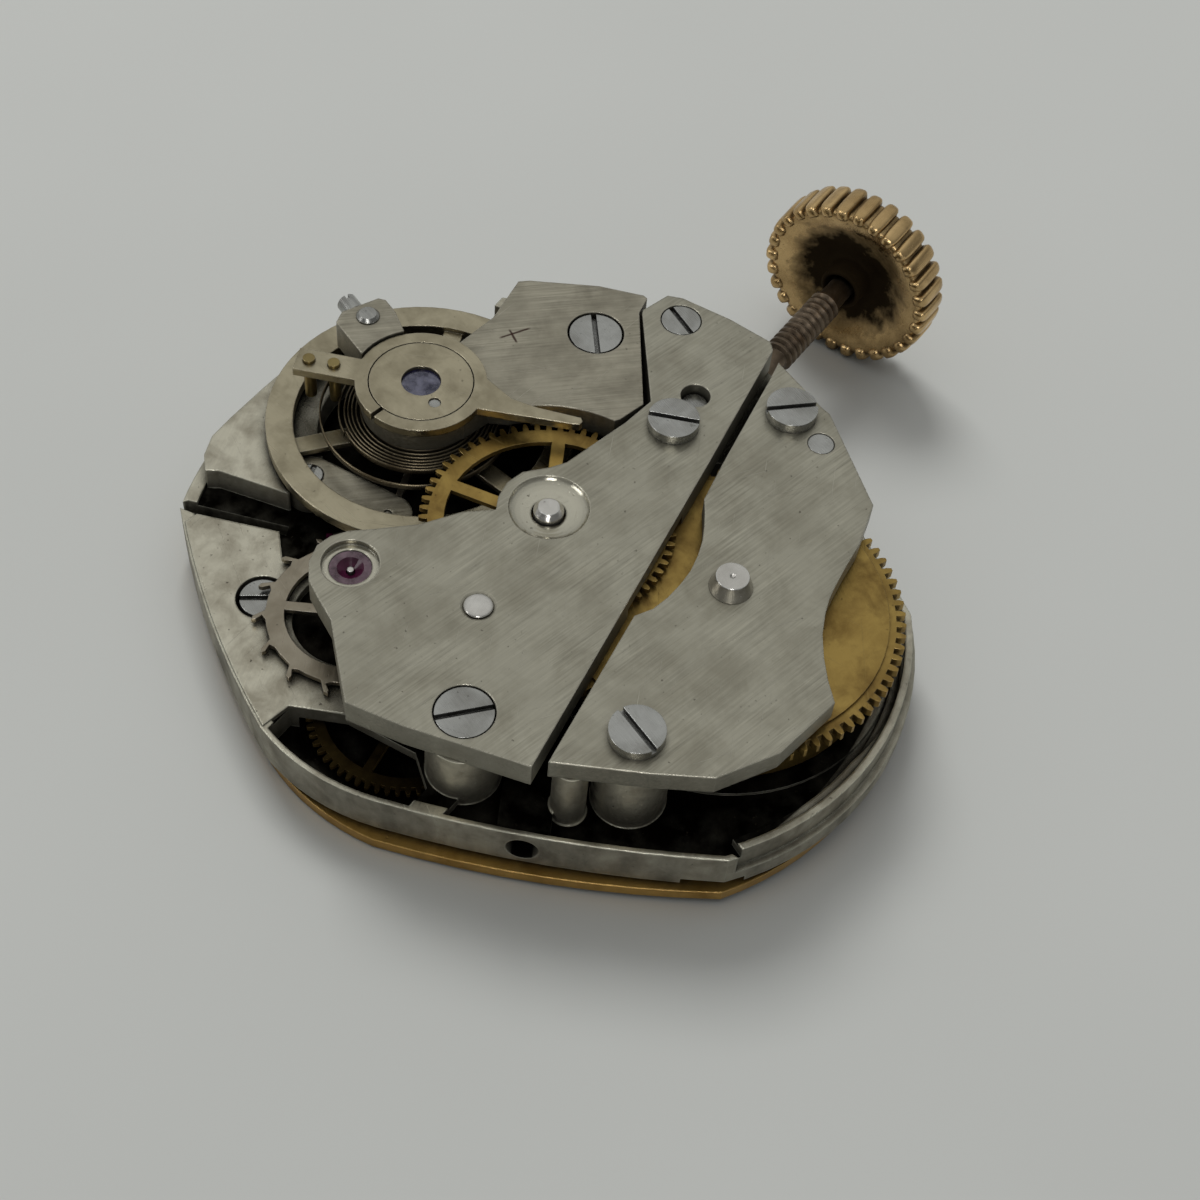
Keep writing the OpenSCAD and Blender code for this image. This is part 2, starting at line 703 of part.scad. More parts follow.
barrel_bridge_pts = concat([[-5.93, -4.29], [-4.79, -6.29], [-4, -7.5], [-2.57, -8.29], [-0.64, -8.57]],
    [[-0.2, -8.12], [0.29, -7.71], [0.85, -7.33], [1.43, -7.06], [1.85, -6.92], [2.29, -6.83], [3, -6.72], [3.71, -6.64]],
    [[5, -6.29], [6.93, -3.86], [7, -3.57], [7.64, -1.86], [7, -2], [3.79, -2.6], [2.57, -2.86]],
    [[2.2, -3.12], [1.86, -3.33], [1.45, -3.55], [1, -3.71], [0.5, -3.83], [0, -3.86], [-0.5, -3.84], [-1, -3.75], [-1.43, -3.52]]);

module barrel_bridge() {
    color(nickel)
    difference() {
        union() {
            translate([0, 0, barrel_bridge_under])
                linear_extrude(barrel_bridge_t)
                    polygon(barrel_bridge_pts);
            translate([0, 0, bridge_under])
                linear_extrude(barrel_bridge_under - bridge_under + eps)
                    difference() {
                        intersection() {
                            polygon(barrel_bridge_pts);
                            polygon(boss_pts);
                        }
                        translate(barrel_at)
                            circle(r = barrel_pitch_r + barrel_module + wheel_gap);
                    }
        }
        disc(barrel_at, 0.42 + run_fit, 0, 5);
        disc(barrel_left_at, shank_r + 0.04, 0, 5);
        disc(barrel_right_at, shank_r + 0.04, 0, 5);
        disc(barrel_steady_at, steady_r + 0.01, 0, 5);
    }
}

cock_pts = [[3.2, 0.42], [3.45, 0.27], [4.23, 0.1], [6.86, 2.03], [7.43, 2.16], [7.46, 2.29], [7, 3.43],
    [6, 5], [5.79, 5.21], [4.29, 4.93], [2.93, 5.07], [1.9, 6.35], [0.2, 5.9], [0, 4], [0.9, 3.3], [1.7, 3.14], [2.2, 2.3]];
stud_arm_pts = [[0.83, 6.35], [1.37, 7.8], [1.75, 7.92], [2.72, 7.5], [2.79, 7.31], [2.61, 6.84], [2.05, 6.0], [1.4, 5.9]];

module balance_cock() {
    color(nickel)
    difference() {
        union() {
            translate([0, 0, bridge_under])
                linear_extrude(train_bridge_t) {
                    polygon(cock_pts);
                    translate(balance_at)
                        circle(r = 1.55);
                }
            translate([0, 0, bridge_under + 0.2])
                linear_extrude(train_bridge_t + 0.12)
                    difference() {
                        polygon(stud_arm_pts);
                        translate(balance_at)
                            circle(r = regulator_r + 0.06);
                    }
            translate([0, 0, bridge_under + 0.2])
                linear_extrude(train_bridge_t - 0.25)
                    polygon(stud_arm_pts);
        }
        // clear of the centre wheel, and room for the hairspring
        disc(centre_at, centre_pitch_r + centre_module + wheel_gap, 0, 5);
        disc(balance_at, hairspring_r + 0.25, 0, bridge_under + 0.12);
        disc(balance_at, 0.46, 0, 5);
        disc(balance_at, cap_r - 0.3, bridge_top - 0.3, 5);
        disc(cock_screw_at, shank_r + 0.04, 0, 5);
        disc(cock_screw_at, flush_head_r + 0.06, bridge_top - 0.3, 5);
        disc(cock_steady_at, steady_r + 0.01, 0, bridge_top - 0.16);
        disc(stud_at, 0.22, 0, 5);
        stud_screw_hole(0.15);
    }
}

stud_angle = 70;
stud_at = balance_at + polar(hairspring_r, stud_angle);
module stud_screw_hole(r) {
    at(stud_at, bridge_under + 0.62)
        rotate([0, 90, stud_angle])
            cylinder(r = r, h = 3);
}

module pallet_cock() {
    color(nickel)
    difference() {
    translate([0, 0, 1.7])
        linear_extrude(0.28)
            difference() {
                arm(fork_at, fork_cock_at, 1.25);
                translate(fork_at)
                    circle(r = pivot_r + run_fit);
                translate(fork_cock_at)
                    circle(r = 0.22);
            }
        disc(fork_cock_at, 0.37, 1.88, 4);
    }
    color(nickel)
    difference() {
        disc(fork_cock_at, 0.6, plate_t, 1.71);
        disc(fork_cock_at, 0.22, 0, 4);
    }
}

module lower_train_cap() {
    color(nickel)
    translate([0, 0, cap_plate_z])
        linear_extrude(cap_plate_t)
            difference() {
                cap_outline(0);
                translate(fourth_at)
                    circle(r = pivot_r + run_fit);
                translate(escape_at)
                    circle(r = pivot_r + run_fit);
                for (p = cap_screws_at)
                    translate(p)
                        circle(r = 0.18);
            }
}

module keyless_cover() {
    color(steel) {
        difference() {
            linear_extrude(cover_t)
                cover_outline(0);
            for (p = cover_screws_at) {
                disc(p, 0.19, -1, 1);
                disc(p, cover_head_r + 0.02, -1, 0.01 + cover_head_h);
            }
        }
        disc(crown_wheel_at, 0.8, cover_t - eps, winding_wheel_z - 0.02);
        disc(crown_wheel_at, 0.6, winding_wheel_z - 0.03, winding_wheel_z + winding_wheel_t - 0.02);
    }
}

module dial() {
    color(gold)
    difference() {
        union() {
            translate([0, 0, -dial_t])
                linear_extrude(dial_t)
                    polygon(dial_pts);
            for (s = [1, -1])
                disc(foot_at * s, foot_r, -0.1, foot_len);
            // hour markers on the face
            for (h = [0 : 11])
                rotate(30 * h)
                    translate([0, h % 3 == 0 ? 5.6 : 6, -dial_t - 0.05])
                        translate([-0.18, 0, 0])
                            cube([0.36, h % 3 == 0 ? 1.9 : 1.4, 0.1]);
        }
        disc(centre_at, hour_pipe_r + 0.12, -2, 1);
    }
}

// screws and pins

module raised_screws() {
    top = bridge_top + bridge_head_h;
    color(steel) {
        screw(train_raised_at, bridge_head_r, bridge_head_h, top, stem_z + 1, shank_r, -65);
        screw(barrel_left_at, bridge_head_r, bridge_head_h, top, 1.35, shank_r, 70);
        screw(barrel_right_at, bridge_head_r, bridge_head_h, top, 1.65, shank_r, -45);
    }
}

module flush_screws() {
    color(steel) {
        screw(train_flush_at, flush_head_r, 0.28, bridge_top - 0.02, 1.25, shank_r, -40);
        screw(cock_screw_at, flush_head_r, 0.28, bridge_top - 0.02, 1.45, shank_r, 40);
    }
}

module setting_lever_screw() {
    color(steel)
        screw(lever_screw_at, small_head_r, 0.2, bridge_top - 0.01, 0.16, 0.2, 65);
}

module pallet_cock_screw() {
    color(steel)
        screw(fork_cock_at, 0.34, 0.12, 2, 0.8, 0.18, 15);
}

module pad_screw() {
    color(steel)
        screw(pad_screw_at, 0.56, 0.26, pad_top - 0.02, 0.55, 0.2, -52);
}

module dial_side_screws() {
    color(steel)
        mirror([0, 0, 1]) {
            for (p = cover_screws_at)
                screw(p, cover_head_r, cover_head_h, -0.01, -0.84, 0.16, 30);
            for (p = cap_screws_at)
                screw(p, 0.34, 0.09, -0.01, -0.84, 0.16, 30);
            screw(click_at, 0.42, 0.15, -0.1, -0.88, 0.18, 10);
        }
}

module dial_foot_screw() {
    color(steel)
    at(-foot_at, foot_hole_z)
        rotate([0, 90, foot_dir + 180])
            difference() {
                translate([0, 0, foot_r + 0.05])
                    cylinder(r = foot_hole_r - 0.02, h = 0.55);
                translate([-1, -slot_w / 2, foot_r + 0.48])
                    cube([2, slot_w, 1]);
            }
}

cap_pin_at = [0.79, 4.14];
module steady_pins() {
    color(steel) {
        disc(train_steady_at, steady_r - 0.01, stem_z + 1.06, bridge_top - 0.3);
        disc(barrel_steady_at, steady_r - 0.01, 1.85, bridge_top - 0.01);
        disc(cock_steady_at, steady_r - 0.01, 1.85, bridge_top - 0.2);
        disc(cap_pin_at, 0.15, bridge_top - 0.26, cap_top - 0.04);
    }
}

// jewels

module hole_jewels() {
    color(ruby)
    difference() {
        union() {
            disc(escape_at, 0.51, bridge_under, bridge_top - 0.18);
            disc(balance_at, 0.45, bridge_under + 0.14, bridge_under + 0.36);
            disc(balance_at, 0.55, 0.5, 0.75);
        }
        disc(balance_at, pivot_r + run_fit, 0, 5);
        disc(escape_at, pivot_r + run_fit, 0, 5);
        at(escape_at, bridge_top - 0.34)
            cylinder(r1 = 0.1, r2 = 0.34, h = 0.17);
    }
}

module cap_setting() {
    color(tan_metal)
    difference() {
        union() {
            disc(balance_at, cap_r, regulator_z, cap_top);
            disc(balance_at, cap_r - 0.32, bridge_top - 0.28, regulator_z + 0.02);
        }
        disc(balance_at, cap_jewel_r + 0.005, 0, 5);
        disc(cap_pin_at, 0.16, 0, 5);
    }
}

module cap_jewels() {
    color([0.25, 0.26, 0.5]) {
        disc(balance_at, cap_jewel_r, bridge_top - 0.28, cap_top - 0.1);
        disc(balance_at, 0.55, 0.22, 0.46);
    }
}

// going train

module barrel_drum() {
    color(brass)
    difference() {
        union() {
            disc(barrel_at, drum_r, drum_floor_z, ring_z + 0.1);
            at(barrel_at, ring_z)
                linear_extrude(ring_h - 0.08)
                    gear(barrel_teeth, barrel_module, dir(barrel_at, centre_at));
        }
        disc(barrel_at, drum_r - 0.22, drum_floor_z + 0.2, 4);
        disc(barrel_at, 0.55 + run_fit, 0, 4);
    }
}

module barrel_lid() {
    color(brass)
    difference() {
        union() {
            disc(barrel_at, drum_r + 0.1, ring_z + ring_h - 0.08, ring_z + ring_h);
            disc(barrel_at, drum_r - 0.24, ring_z + ring_h - 0.2, ring_z + ring_h - 0.07);
        }
        disc(barrel_at, 0.55 + run_fit, 0, 4);
    }
}

mainspring_r0 = barrel_arbor_r + 0.14;
mainspring_r1 = drum_r - 0.3;
module mainspring() {
    color(steel)
    at(barrel_at, drum_floor_z + 0.26)
        linear_extrude(ring_z + ring_h - 0.26 - drum_floor_z - 0.26)
            polygon(spiral_pts(mainspring_r0, mainspring_r1, mainspring_turns, mainspring_t, 40));
}
echo("mainspring gap", spiral_gap(mainspring_r0, mainspring_r1, mainspring_turns, mainspring_t, 40));

module barrel_arbor() {
    color(steel)
    difference() {
        union() {
            disc(barrel_at, barrel_arbor_r, drum_floor_z + 0.24, ring_z + ring_h - 0.24);
            disc(barrel_at, 0.55, 0.64, ring_z + ring_h + 0.06);
            disc(barrel_at, 0.42, 0.64, bridge_top + 0.02);
            at(barrel_at, bridge_top + 0.01)
                cylinder(r1 = 0.54, r2 = 0.4, h = 0.4);
            at(barrel_at, 0.3)
                translate([-0.3, -0.3, 0])
                    cube([0.6, 0.6, 0.5]);
        }
        at(barrel_at, bridge_top + 0.36)
            cylinder(r1 = 0.02, r2 = 0.09, h = 0.06);
        disc(barrel_at, 0.15, 0, 0.6);
    }
}

module ratchet_wheel() {
    color(steel)
    difference() {
        at(barrel_at, winding_wheel_z)
            linear_extrude(winding_wheel_t - 0.02)
                gear(ratchet_teeth, winding_module, dir(barrel_at, crown_wheel_at));
        at(barrel_at, 0)
            translate([-0.305, -0.305, 0])
                cube([0.61, 0.61, 2]);
    }
}

module ratchet_screw() {
    color(steel)
        mirror([0, 0, 1])
            screw(barrel_at, 0.85, 0.16, -0.14, -0.58, 0.145, 25);
}

module centre_wheel() {
    color(brass)
        wheel(centre_at, centre_wheel_z, wheel_t, centre_teeth, centre_module, dir(centre_at, third_at), 5,
            0.95, 0.4, 0.34, 30, 0.305);
}

module centre_arbor() {
    color(steel) {
        at(centre_at, ring_z - 0.16)
            linear_extrude(centre_wheel_z - ring_z + 0.16)
                gear(centre_leaves, barrel_module, dir(centre_at, barrel_at) + 180 / centre_leaves, 0.9, 1.3);
        disc(centre_at, 0.2, -0.5, 0.9);
        disc(centre_at, 0.26, 0.88, 1.3);
        disc(centre_at, 0.3, 1.28, bridge_under + 0.4);
        disc(centre_at, 0.38, bridge_under + centre_sink_d + 0.02, bridge_top - 0.12);
        at(centre_at, bridge_top - 0.12)
            cylinder(r1 = 0.38, r2 = 0.26, h = 0.14);
    }
}

module third_wheel() {
    color(brass)
        wheel(third_at, third_wheel_z, wheel_t, third_teeth, third_module, dir(third_at, fourth_at), 4,
            0.5, 0.2, 0.2, 20, arbor_r + 0.005);
}

// arbor with its pivots: z0 to z1 over all, shoulders at s0 and s1
module train_arbor(p, z0, s0, s1, z1, pinion_z0, pinion_z1, leaves, m, phase) {
    disc(p, arbor_r, s0, s1);
    disc(p, pivot_r, z0, z1);
    at(p, pinion_z0)
        linear_extrude(pinion_z1 - pinion_z0)
            gear(leaves, m, phase, 0.85, 1.3);
}

module third_arbor() {
    color(steel)
        train_arbor(third_at, 0.95, plate_t + 0.03, bridge_under + centre_sink_d - 0.03, bridge_top - 0.17,
            2.56, bridge_under + centre_sink_d - 0.05, train_leaves, centre_module,
            dir(third_at, centre_at) + 180 / train_leaves);
}

module fourth_wheel() {
    color(brass)
        wheel(fourth_at, fourth_wheel_z, wheel_t, fourth_teeth, fourth_module, dir(fourth_at, escape_at), 4,
            0.5, 0.26, 0.22, 10, arbor_r + 0.005);
}

module fourth_arbor() {
    color(steel)
    difference() {
        train_arbor(fourth_at, cap_plate_z + 0.04, cap_plate_z + cap_plate_t + 0.04, bridge_under - 0.04,
            bridge_top - 0.22, third_wheel_z - 0.05, third_wheel_z + 0.24, train_leaves, third_module,
            dir(fourth_at, third_at) + 180 / train_leaves);
        // waist that the escape wheel passes
        difference() {
            disc(fourth_at, 0.5, escape_wheel_z - 0.1, third_wheel_z - 0.05);
            disc(fourth_at, 0.1, 0, 3);
        }
    }
}

// club tooth outline of the escape wheel
function escape_pts() = [for (i = [0 : 14]) let (a = escape_phase + 24 * i)
    each [polar(2.12, a - 15), polar(2.13, a - 4.2), polar(escape_r - 0.12, a - 1), polar(escape_r - 0.04, a),
        polar(escape_r, a + 2.6), polar(escape_r - 0.1, a + 2.6), polar(2.2, a - 0.4), polar(2.12, a + 3)]];
escape_phase = 133.2 - 2.6;

module escape_wheel() {
    color(steel)
    at(escape_at, escape_wheel_z)
        linear_extrude(wheel_t)
            difference() {
                polygon(escape_pts());
                windows(4, 0.45, 1.67, 0.26, 31);
                circle(r = arbor_r + 0.005);
            }
}

module escape_arbor() {
    color(steel)
        train_arbor(escape_at, cap_plate_z + 0.04, cap_plate_z + cap_plate_t + 0.04, bridge_under - 0.04,
            bridge_top - 0.24, 0.5, 0.84, escape_leaves, fourth_module, dir(escape_at, fourth_at) + 180 / escape_leaves);
}

// escapement and balance

fork_len = dist(fork_at, balance_at) - pin_orbit_r;
module pallet_fork() {
    color(steel)
    at(fork_at, escape_wheel_z)
        rotate(fork_dir)
            linear_extrude(wheel_t)
                difference() {
                    union() {
                        translate([0, -0.09])
                            square([fork_len - 0.25, 0.18]);
                        translate([fork_len - 0.35, -0.24])
                            square([0.45, 0.48]);
                        circle(r = 0.34);
                        for (s = [1, -1])
                            arm([0, 0], [-0.86, s * 1.18], 0.3);
                    }
                    translate([fork_len - 0.13, -0.09])
                        square([1, 0.18]);
                    circle(r = 0.13);
                    for (s = [1, -1])
                        translate([-0.95, s * 1.25])
                            rotate(s * 14)
                                translate([-0.3, -0.085])
                                    square([0.55, 0.17]);
                }
}

module pallet_stones() {
    color(ruby)
    at(fork_at, escape_wheel_z + 0.02)
        rotate(fork_dir)
            linear_extrude(wheel_t - 0.02)
                for (s = [1, -1])
                    translate([-0.95, s * 1.25])
                        rotate(s * 14)
                            translate([-0.29, -0.075])
                                square([0.53, 0.15]);
}

module pallet_staff() {
    color(steel) {
        disc(fork_at, 0.12, plate_t + 0.02, 1.68);
        disc(fork_at, pivot_r, 0.8, 1.96);
    }
}

module balance_wheel() {
    color(tan_metal)
    difference() {
        at(balance_at, balance_z)
            linear_extrude(balance_rim_h)
                difference() {
                    circle(r = balance_r);
                    windows(3, 0.5, balance_r - balance_rim_w, 0.5, 143);
                    circle(r = 0.2);
                }
        disc(balance_at, balance_r - balance_rim_w, balance_z + 0.16, 4);
    }
}

module balance_staff() {
    color(steel) {
        disc(balance_at, 0.195, 1.3, 2.84);
        disc(balance_at, 0.12, 0.85, 2.88);
        disc(balance_at, pivot_r, 0.48, bridge_under + 0.4);
    }
}

module roller() {
    color(steel)
    difference() {
        union() {
            disc(balance_at, 0.62, 1.72, 1.84);
            disc(balance_at, 0.34, 1.36, 1.73);
        }
        disc(balance_at, 0.2, 0, 4);
    }
}

module impulse_pin() {
    color(ruby)
        disc(balance_at - polar(pin_orbit_r, fork_dir), 0.07, 1.4, 1.71);
}

module collet() {
    color(brass)
    difference() {
        disc(balance_at, 0.38, hairspring_z - 0.06, hairspring_z + hairspring_h + 0.03);
        disc(balance_at, 0.2, 0, 4);
        at(balance_at, 0)
            translate([0, -0.03, 0])
                cube([1, 0.06, 4]);
    }
}

hairspring_r0 = 0.42;
hairspring_phase = stud_angle + 360 * hairspring_turns;
module hairspring() {
    color([0.45, 0.42, 0.36])
    at(balance_at, hairspring_z)
        linear_extrude(hairspring_h)
            polygon(spiral_pts(hairspring_r0, hairspring_r, hairspring_turns, hairspring_t, hairspring_phase));
}
echo("hairspring gap", spiral_gap(hairspring_r0, hairspring_r, hairspring_turns, hairspring_t, hairspring_phase));

module hairspring_stud() {
    color(steel)
    difference() {
        union() {
            disc(stud_at, 0.2, hairspring_z - 0.05, bridge_top + 0.35);
            at(stud_at, bridge_top + 0.34)
                cylinder(r1 = 0.31, r2 = 0.22, h = 0.1);
        }
        at(stud_at, hairspring_z - 1)
            rotate(stud_angle + 90)
                translate([-1, -0.03, 0])
                    cube([2, 0.06, 1 + hairspring_h + 0.02]);
    }
}

module stud_screw() {
    color(steel)
    at(stud_at, bridge_under + 0.62)
        rotate([0, 90, stud_angle])
            difference() {
                union() {
                    translate([0, 0, 0.22])
                        cylinder(r = 0.13, h = 0.72);
                    translate([0, 0, 0.62])
                        cylinder(r = 0.27, h = 0.5);
                }
                translate([-1, -0.05, 1.0])
                    cube([2, 0.1, 1]);
            }
}

curb_angle = 114.5;
module regulator() {
    color(tan_metal)
    difference() {
        translate([0, 0, regulator_z])
            linear_extrude(regulator_t)
                difference() {
                    union() {
                        translate(balance_at)
                            circle(r = regulator_r);
                        // pointer over the cock
                        polygon([[1.2, 3.4], [1.36, 3.05], [2.38, 0.98], [2.46, 0.86], [2.58, 0.85], [2.66, 0.95],
                            [2.26, 2.01], [2.1, 2.7], [2.3, 3.8]]);
                        // tail with the curb pins
                        translate(balance_at)
                            rotate(curb_angle)
                                translate([1.2, -0.37])
                                    square([2.05, 0.74]);
                    }
                    translate(balance_at)
                        circle(r = cap_r + 0.03);
                    translate(balance_at)
                        rotate(172)
                            translate([0, -0.06])
                                square([3, 0.12]);
                    for (r = curb_radii)
                        translate(balance_at + polar(r, curb_angle))
                            circle(r = curb_r - 0.01);
                }
    }
}

curb_radii = [hairspring_r - 0.33, hairspring_r + 0.32];
module curb_pins() {
    color(brass)
    for (r = curb_radii)
        disc(balance_at + polar(r, curb_angle), curb_r - 0.015, hairspring_z + 0.02, regulator_z + regulator_t + 0.1);
}

// motion work

module cannon_pinion() {
    color(steel)
    difference() {
        union() {
            disc(centre_at, cannon_pipe_r, hour_end - 0.02, 0.6);
            disc(centre_at, minute_seat_r, cannon_end, hour_end);
            at(centre_at, 0.59)
                linear_extrude(0.24)
                    gear(cannon_leaves, motion_module, dir(centre_at, minute_at), 0.95, 1.2);
        }
        disc(centre_at, 0.205, -5, 2);
    }
}

hour_end = -dial_t - hour_reach;
cannon_end = hour_end - minute_reach;

module hour_wheel() {
    color(brass)
    difference() {
        union() {
            at(centre_at, hour_wheel_z)
                linear_extrude(0.18)
                    gear(hour_teeth, motion_module, dir(centre_at, minute_at) + 180 / hour_teeth);
            disc(centre_at, hour_pipe_r, -dial_t, hour_wheel_z + 0.2);
            disc(centre_at, hour_seat_r, hour_end, 0);
        }
        disc(centre_at, cannon_pipe_r + run_fit, -5, 2);
    }
}

module minute_wheel() {
    color(brass)
    difference() {
        union() {
            at(minute_at, setting_wheel_z + 0.01)
                linear_extrude(0.16)
                    gear(minute_teeth, motion_module, dir(minute_at, centre_at) + 180 / minute_teeth);
            at(minute_at, 0.18)
                linear_extrude(setting_wheel_z - 0.16)
                    gear(minute_leaves, motion_module, dir(minute_at, centre_at), 0.9, 1.2);
        }
        disc(minute_at, 0.12 + run_fit, -5, 2);
    }
}

module setting_wheel() {
    color(steel)
    difference() {
        at(setting_at, setting_wheel_z)
            linear_extrude(0.19)
                gear(setting_teeth, motion_module, dir(setting_at, minute_at) + setting_shift);
        disc(setting_at, 0.2 + run_fit, -5, 2);
    }
}
// the minute wheel's tooth that faces the centre fixes where its teeth face the setting wheel
minute_phase = dir(minute_at, centre_at) + 180 / minute_teeth;
minute_offset = (dir(minute_at, setting_at) - minute_phase) * minute_teeth / 360;
setting_shift = (minute_offset - floor(minute_offset) - 0.5) * 360 / setting_teeth;

// winding and setting

module crown_wheel() {
    color(steel)
    difference() {
        at(crown_wheel_at, winding_wheel_z)
            linear_extrude(winding_wheel_t)
                gear(crown_wheel_teeth, winding_module, crown_wheel_phase);
        disc(crown_wheel_at, 0.6 + run_fit, -5, 2);
    }
}
ratchet_dir = dir(crown_wheel_at, barrel_at);
crown_wheel_phase = ratchet_dir + 180 / crown_wheel_teeth;
crown_offset = (0 - crown_wheel_phase) * crown_wheel_teeth / 360;
winding_phase = (0.5 - crown_offset + floor(crown_offset)) * 360 / winding_teeth;

// teeth on the face of a drum that turns about the stem
module face_teeth(x, h, n, r_in, r_out, phase) {
    translate([x, stem_y, stem_z])
        rotate([0, 90, 0])
            linear_extrude(h)
                for (i = [0 : n - 1])
                    sector_ring_small(r_out, r_in, phase + i * 360 / n, phase + (i + 0.44) * 360 / n);
}

module sector_ring_small(r_out, r_in, a0, a1) {
    polygon([polar(r_in, a0), polar(r_out, a0), polar(r_out, (a0 + a1) / 2), polar(r_out, a1),
        polar(r_in, a1), polar(r_in, (a0 + a1) / 2)]);
}

module along_stem(x) {
    translate([x, stem_y, stem_z])
        rotate([0, 90, 0])
            children();
}

clutch_end = clutch_x + clutch_len;
module winding_pinion() {
    color(steel)
    difference() {
        union() {
            along_stem(winding_x - 0.1)
                linear_extrude(0.28)
                    gear(winding_teeth, winding_module, winding_phase);
            along_stem(clutch_end + 0.11)
                cylinder(r = 0.62, h = winding_x - clutch_end - 0.11);
            face_teeth(clutch_end + 0.01, 0.14, 10, 0.4, 0.59, 0);
        }
        along_stem(0)
            cylinder(r = 0.345, h = 9);
    }
}

module sliding_clutch() {
    color(steel)
    difference() {
        union() {
            along_stem(clutch_x)
                cylinder(r = clutch_r, h = clutch_groove_x - 0.16 - clutch_x);
            along_stem(clutch_x)
                cylinder(r = 0.5, h = clutch_len - 0.13);
            along_stem(clutch_groove_x + 0.16)
                cylinder(r = clutch_r - 0.1, h = clutch_end - clutch_groove_x - 0.16 - 0.13);
            face_teeth(clutch_end - 0.16, 0.16, 10, 0.4, 0.6, 18);
            face_teeth(clutch_x - 0.15, 0.18, 12, 0.42, clutch_r - 0.03, 7.5);
        }
        translate([0, stem_y - 0.26, stem_z - 0.26])
            cube([9, 0.52, 0.52]);
    }
}

module stem() {
    color([0.36, 0.33, 0.28])
    union() {
        along_stem(3.3)
            cylinder(r = 0.26, h = 0.4);
        translate([3.6, stem_y - 0.23, stem_z - 0.23])
            cube([2.2, 0.46, 0.46]);
        along_stem(winding_x - 0.24)
            cylinder(r = 0.33, h = lever_groove_x + 0.5 - winding_x);
        along_stem(winding_x + 0.3)
            cylinder(r = stem_r, h = lever_groove_x - 0.16 - winding_x - 0.3);
        along_stem(lever_groove_x + 0.16)
            cylinder(r = stem_r, h = 8.9 - lever_groove_x);
        along_stem(9)
            cylinder(r = stem_r - 0.1, h = thread_start - 8.9);
        along_stem(thread_start)
            rotate_extrude()
                polygon(thread_profile());
    }
}

thread_pitch = 0.25;
thread_end = crown_back + crown_t - 0.35;
function thread_profile() = concat([[0, 0]],
    [for (i = [0 : thread_turns - 1]) each [[stem_r - 0.1, i * thread_pitch], [stem_r, (i + 0.35) * thread_pitch],
        [stem_r, (i + 0.65) * thread_pitch]]],
    [[stem_r - 0.1, thread_turns * thread_pitch], [stem_r - 0.1, thread_end - thread_start], [0, thread_end - thread_start]]);

function flute_pts(n, r) = [for (i = [0 : n - 1]) let (a = 360 * i / n, p = 360 / n)
    each [polar(r - 0.16, a), polar(r - 0.1, a + 0.12 * p), polar(r, a + 0.3 * p), polar(r, a + 0.7 * p),
        polar(r - 0.1, a + 0.88 * p)]];

module crown() {
    color(gold)
    difference() {
        union() {
            along_stem(crown_back)
                linear_extrude(crown_t - 0.3)
                    polygon(flute_pts(crown_flutes, crown_r));
            along_stem(crown_back + crown_t - 0.32)
                cylinder(r1 = crown_r - 0.12, r2 = crown_r - 0.5, h = 0.32);
        }
        // dished back
        along_stem(crown_back - eps)
            cylinder(r1 = crown_r - 0.32, r2 = hub_r, h = crown_dish);
        along_stem(crown_back - 1)
            cylinder(r = stem_r + 0.01, h = 1 + crown_t - 0.34);
    }
    color(gold)
    difference() {
        along_stem(crown_back - 0.25)
            cylinder(r = hub_r, h = 0.25 + crown_t - 0.45);
        along_stem(crown_back - 2)
            cylinder(r = stem_r + 0.01, h = 2 + crown_t - 0.34);
    }
}

module setting_lever() {
    pin_at = [lever_groove_x, stem_y];
    color(steel) {
        translate([0, 0, 0.17])
            linear_extrude(0.25)
                difference() {
                    union() {
                        arm(lever_screw_at, pin_at, 0.55);
                        arm(lever_screw_at, [6.35, 1.55], 0.5);
                        translate(lever_screw_at)
                            circle(r = 0.42);
                    }
                    translate(lever_screw_at)
                        circle(r = 0.2 + run_fit);
                }
        disc(pin_at, 0.12, 0.3, stem_z - 0.36);
    }
}

module yoke() {
    color(steel)
    translate([0, 0, setting_wheel_z])
        linear_extrude(0.2)
            difference() {
                union() {
                    arm(yoke_at, [clutch_groove_x, stem_y + 0.1], 0.22);
                    translate(yoke_at)
                        circle(r = 0.42);
                    arm(yoke_at, [5.6, 1.95], 0.4);
                }
                translate(yoke_at)
                    circle(r = 0.2 + run_fit);
            }
}

module yoke_spring() {
    color(steel)
    translate([0, 0, setting_wheel_z])
        linear_extrude(0.16)
            difference() {
                union() {
                    translate(yoke_spring_at)
                        circle(r = 0.34);
                    polygon([[3.38, 1.6], [3.58, 0.88], [4.75, 0.62], [4.75, 0.72], [3.66, 0.97], [3.5, 1.6]]);
                }
                translate(yoke_spring_at)
                    circle(r = 0.105);
            }
}

click_angle = dir(barrel_at, crown_wheel_at) - 14.5 * 360 / ratchet_teeth;
module click() {
    nose = barrel_at + polar(ratchet_r + 0.03, click_angle);
    color(steel)
    translate([0, 0, winding_wheel_z])
        linear_extrude(0.26)
            difference() {
                union() {
                    translate(click_at)
                        circle(r = 0.42);
                    polygon([click_at + polar(0.4, 160), nose + polar(0.14, 60), nose, nose + polar(0.2, -75),
                        click_at + polar(0.4, -95)]);
                }
                translate(click_at)
                    circle(r = 0.19 + run_fit);
            }
}

module click_spring() {
    color(steel)
    difference() {
        union() {
            at(barrel_at, winding_wheel_z)
                linear_extrude(0.16)
                    sector_ring(ratchet_r + 0.55, ratchet_r + 0.47, -62, -47.5);
            disc(spring_foot_at, 0.25, winding_wheel_z, winding_wheel_z + 0.16);
        }
        disc(spring_foot_at, 0.1, 0, 1);
    }
}

// which pieces are drawn

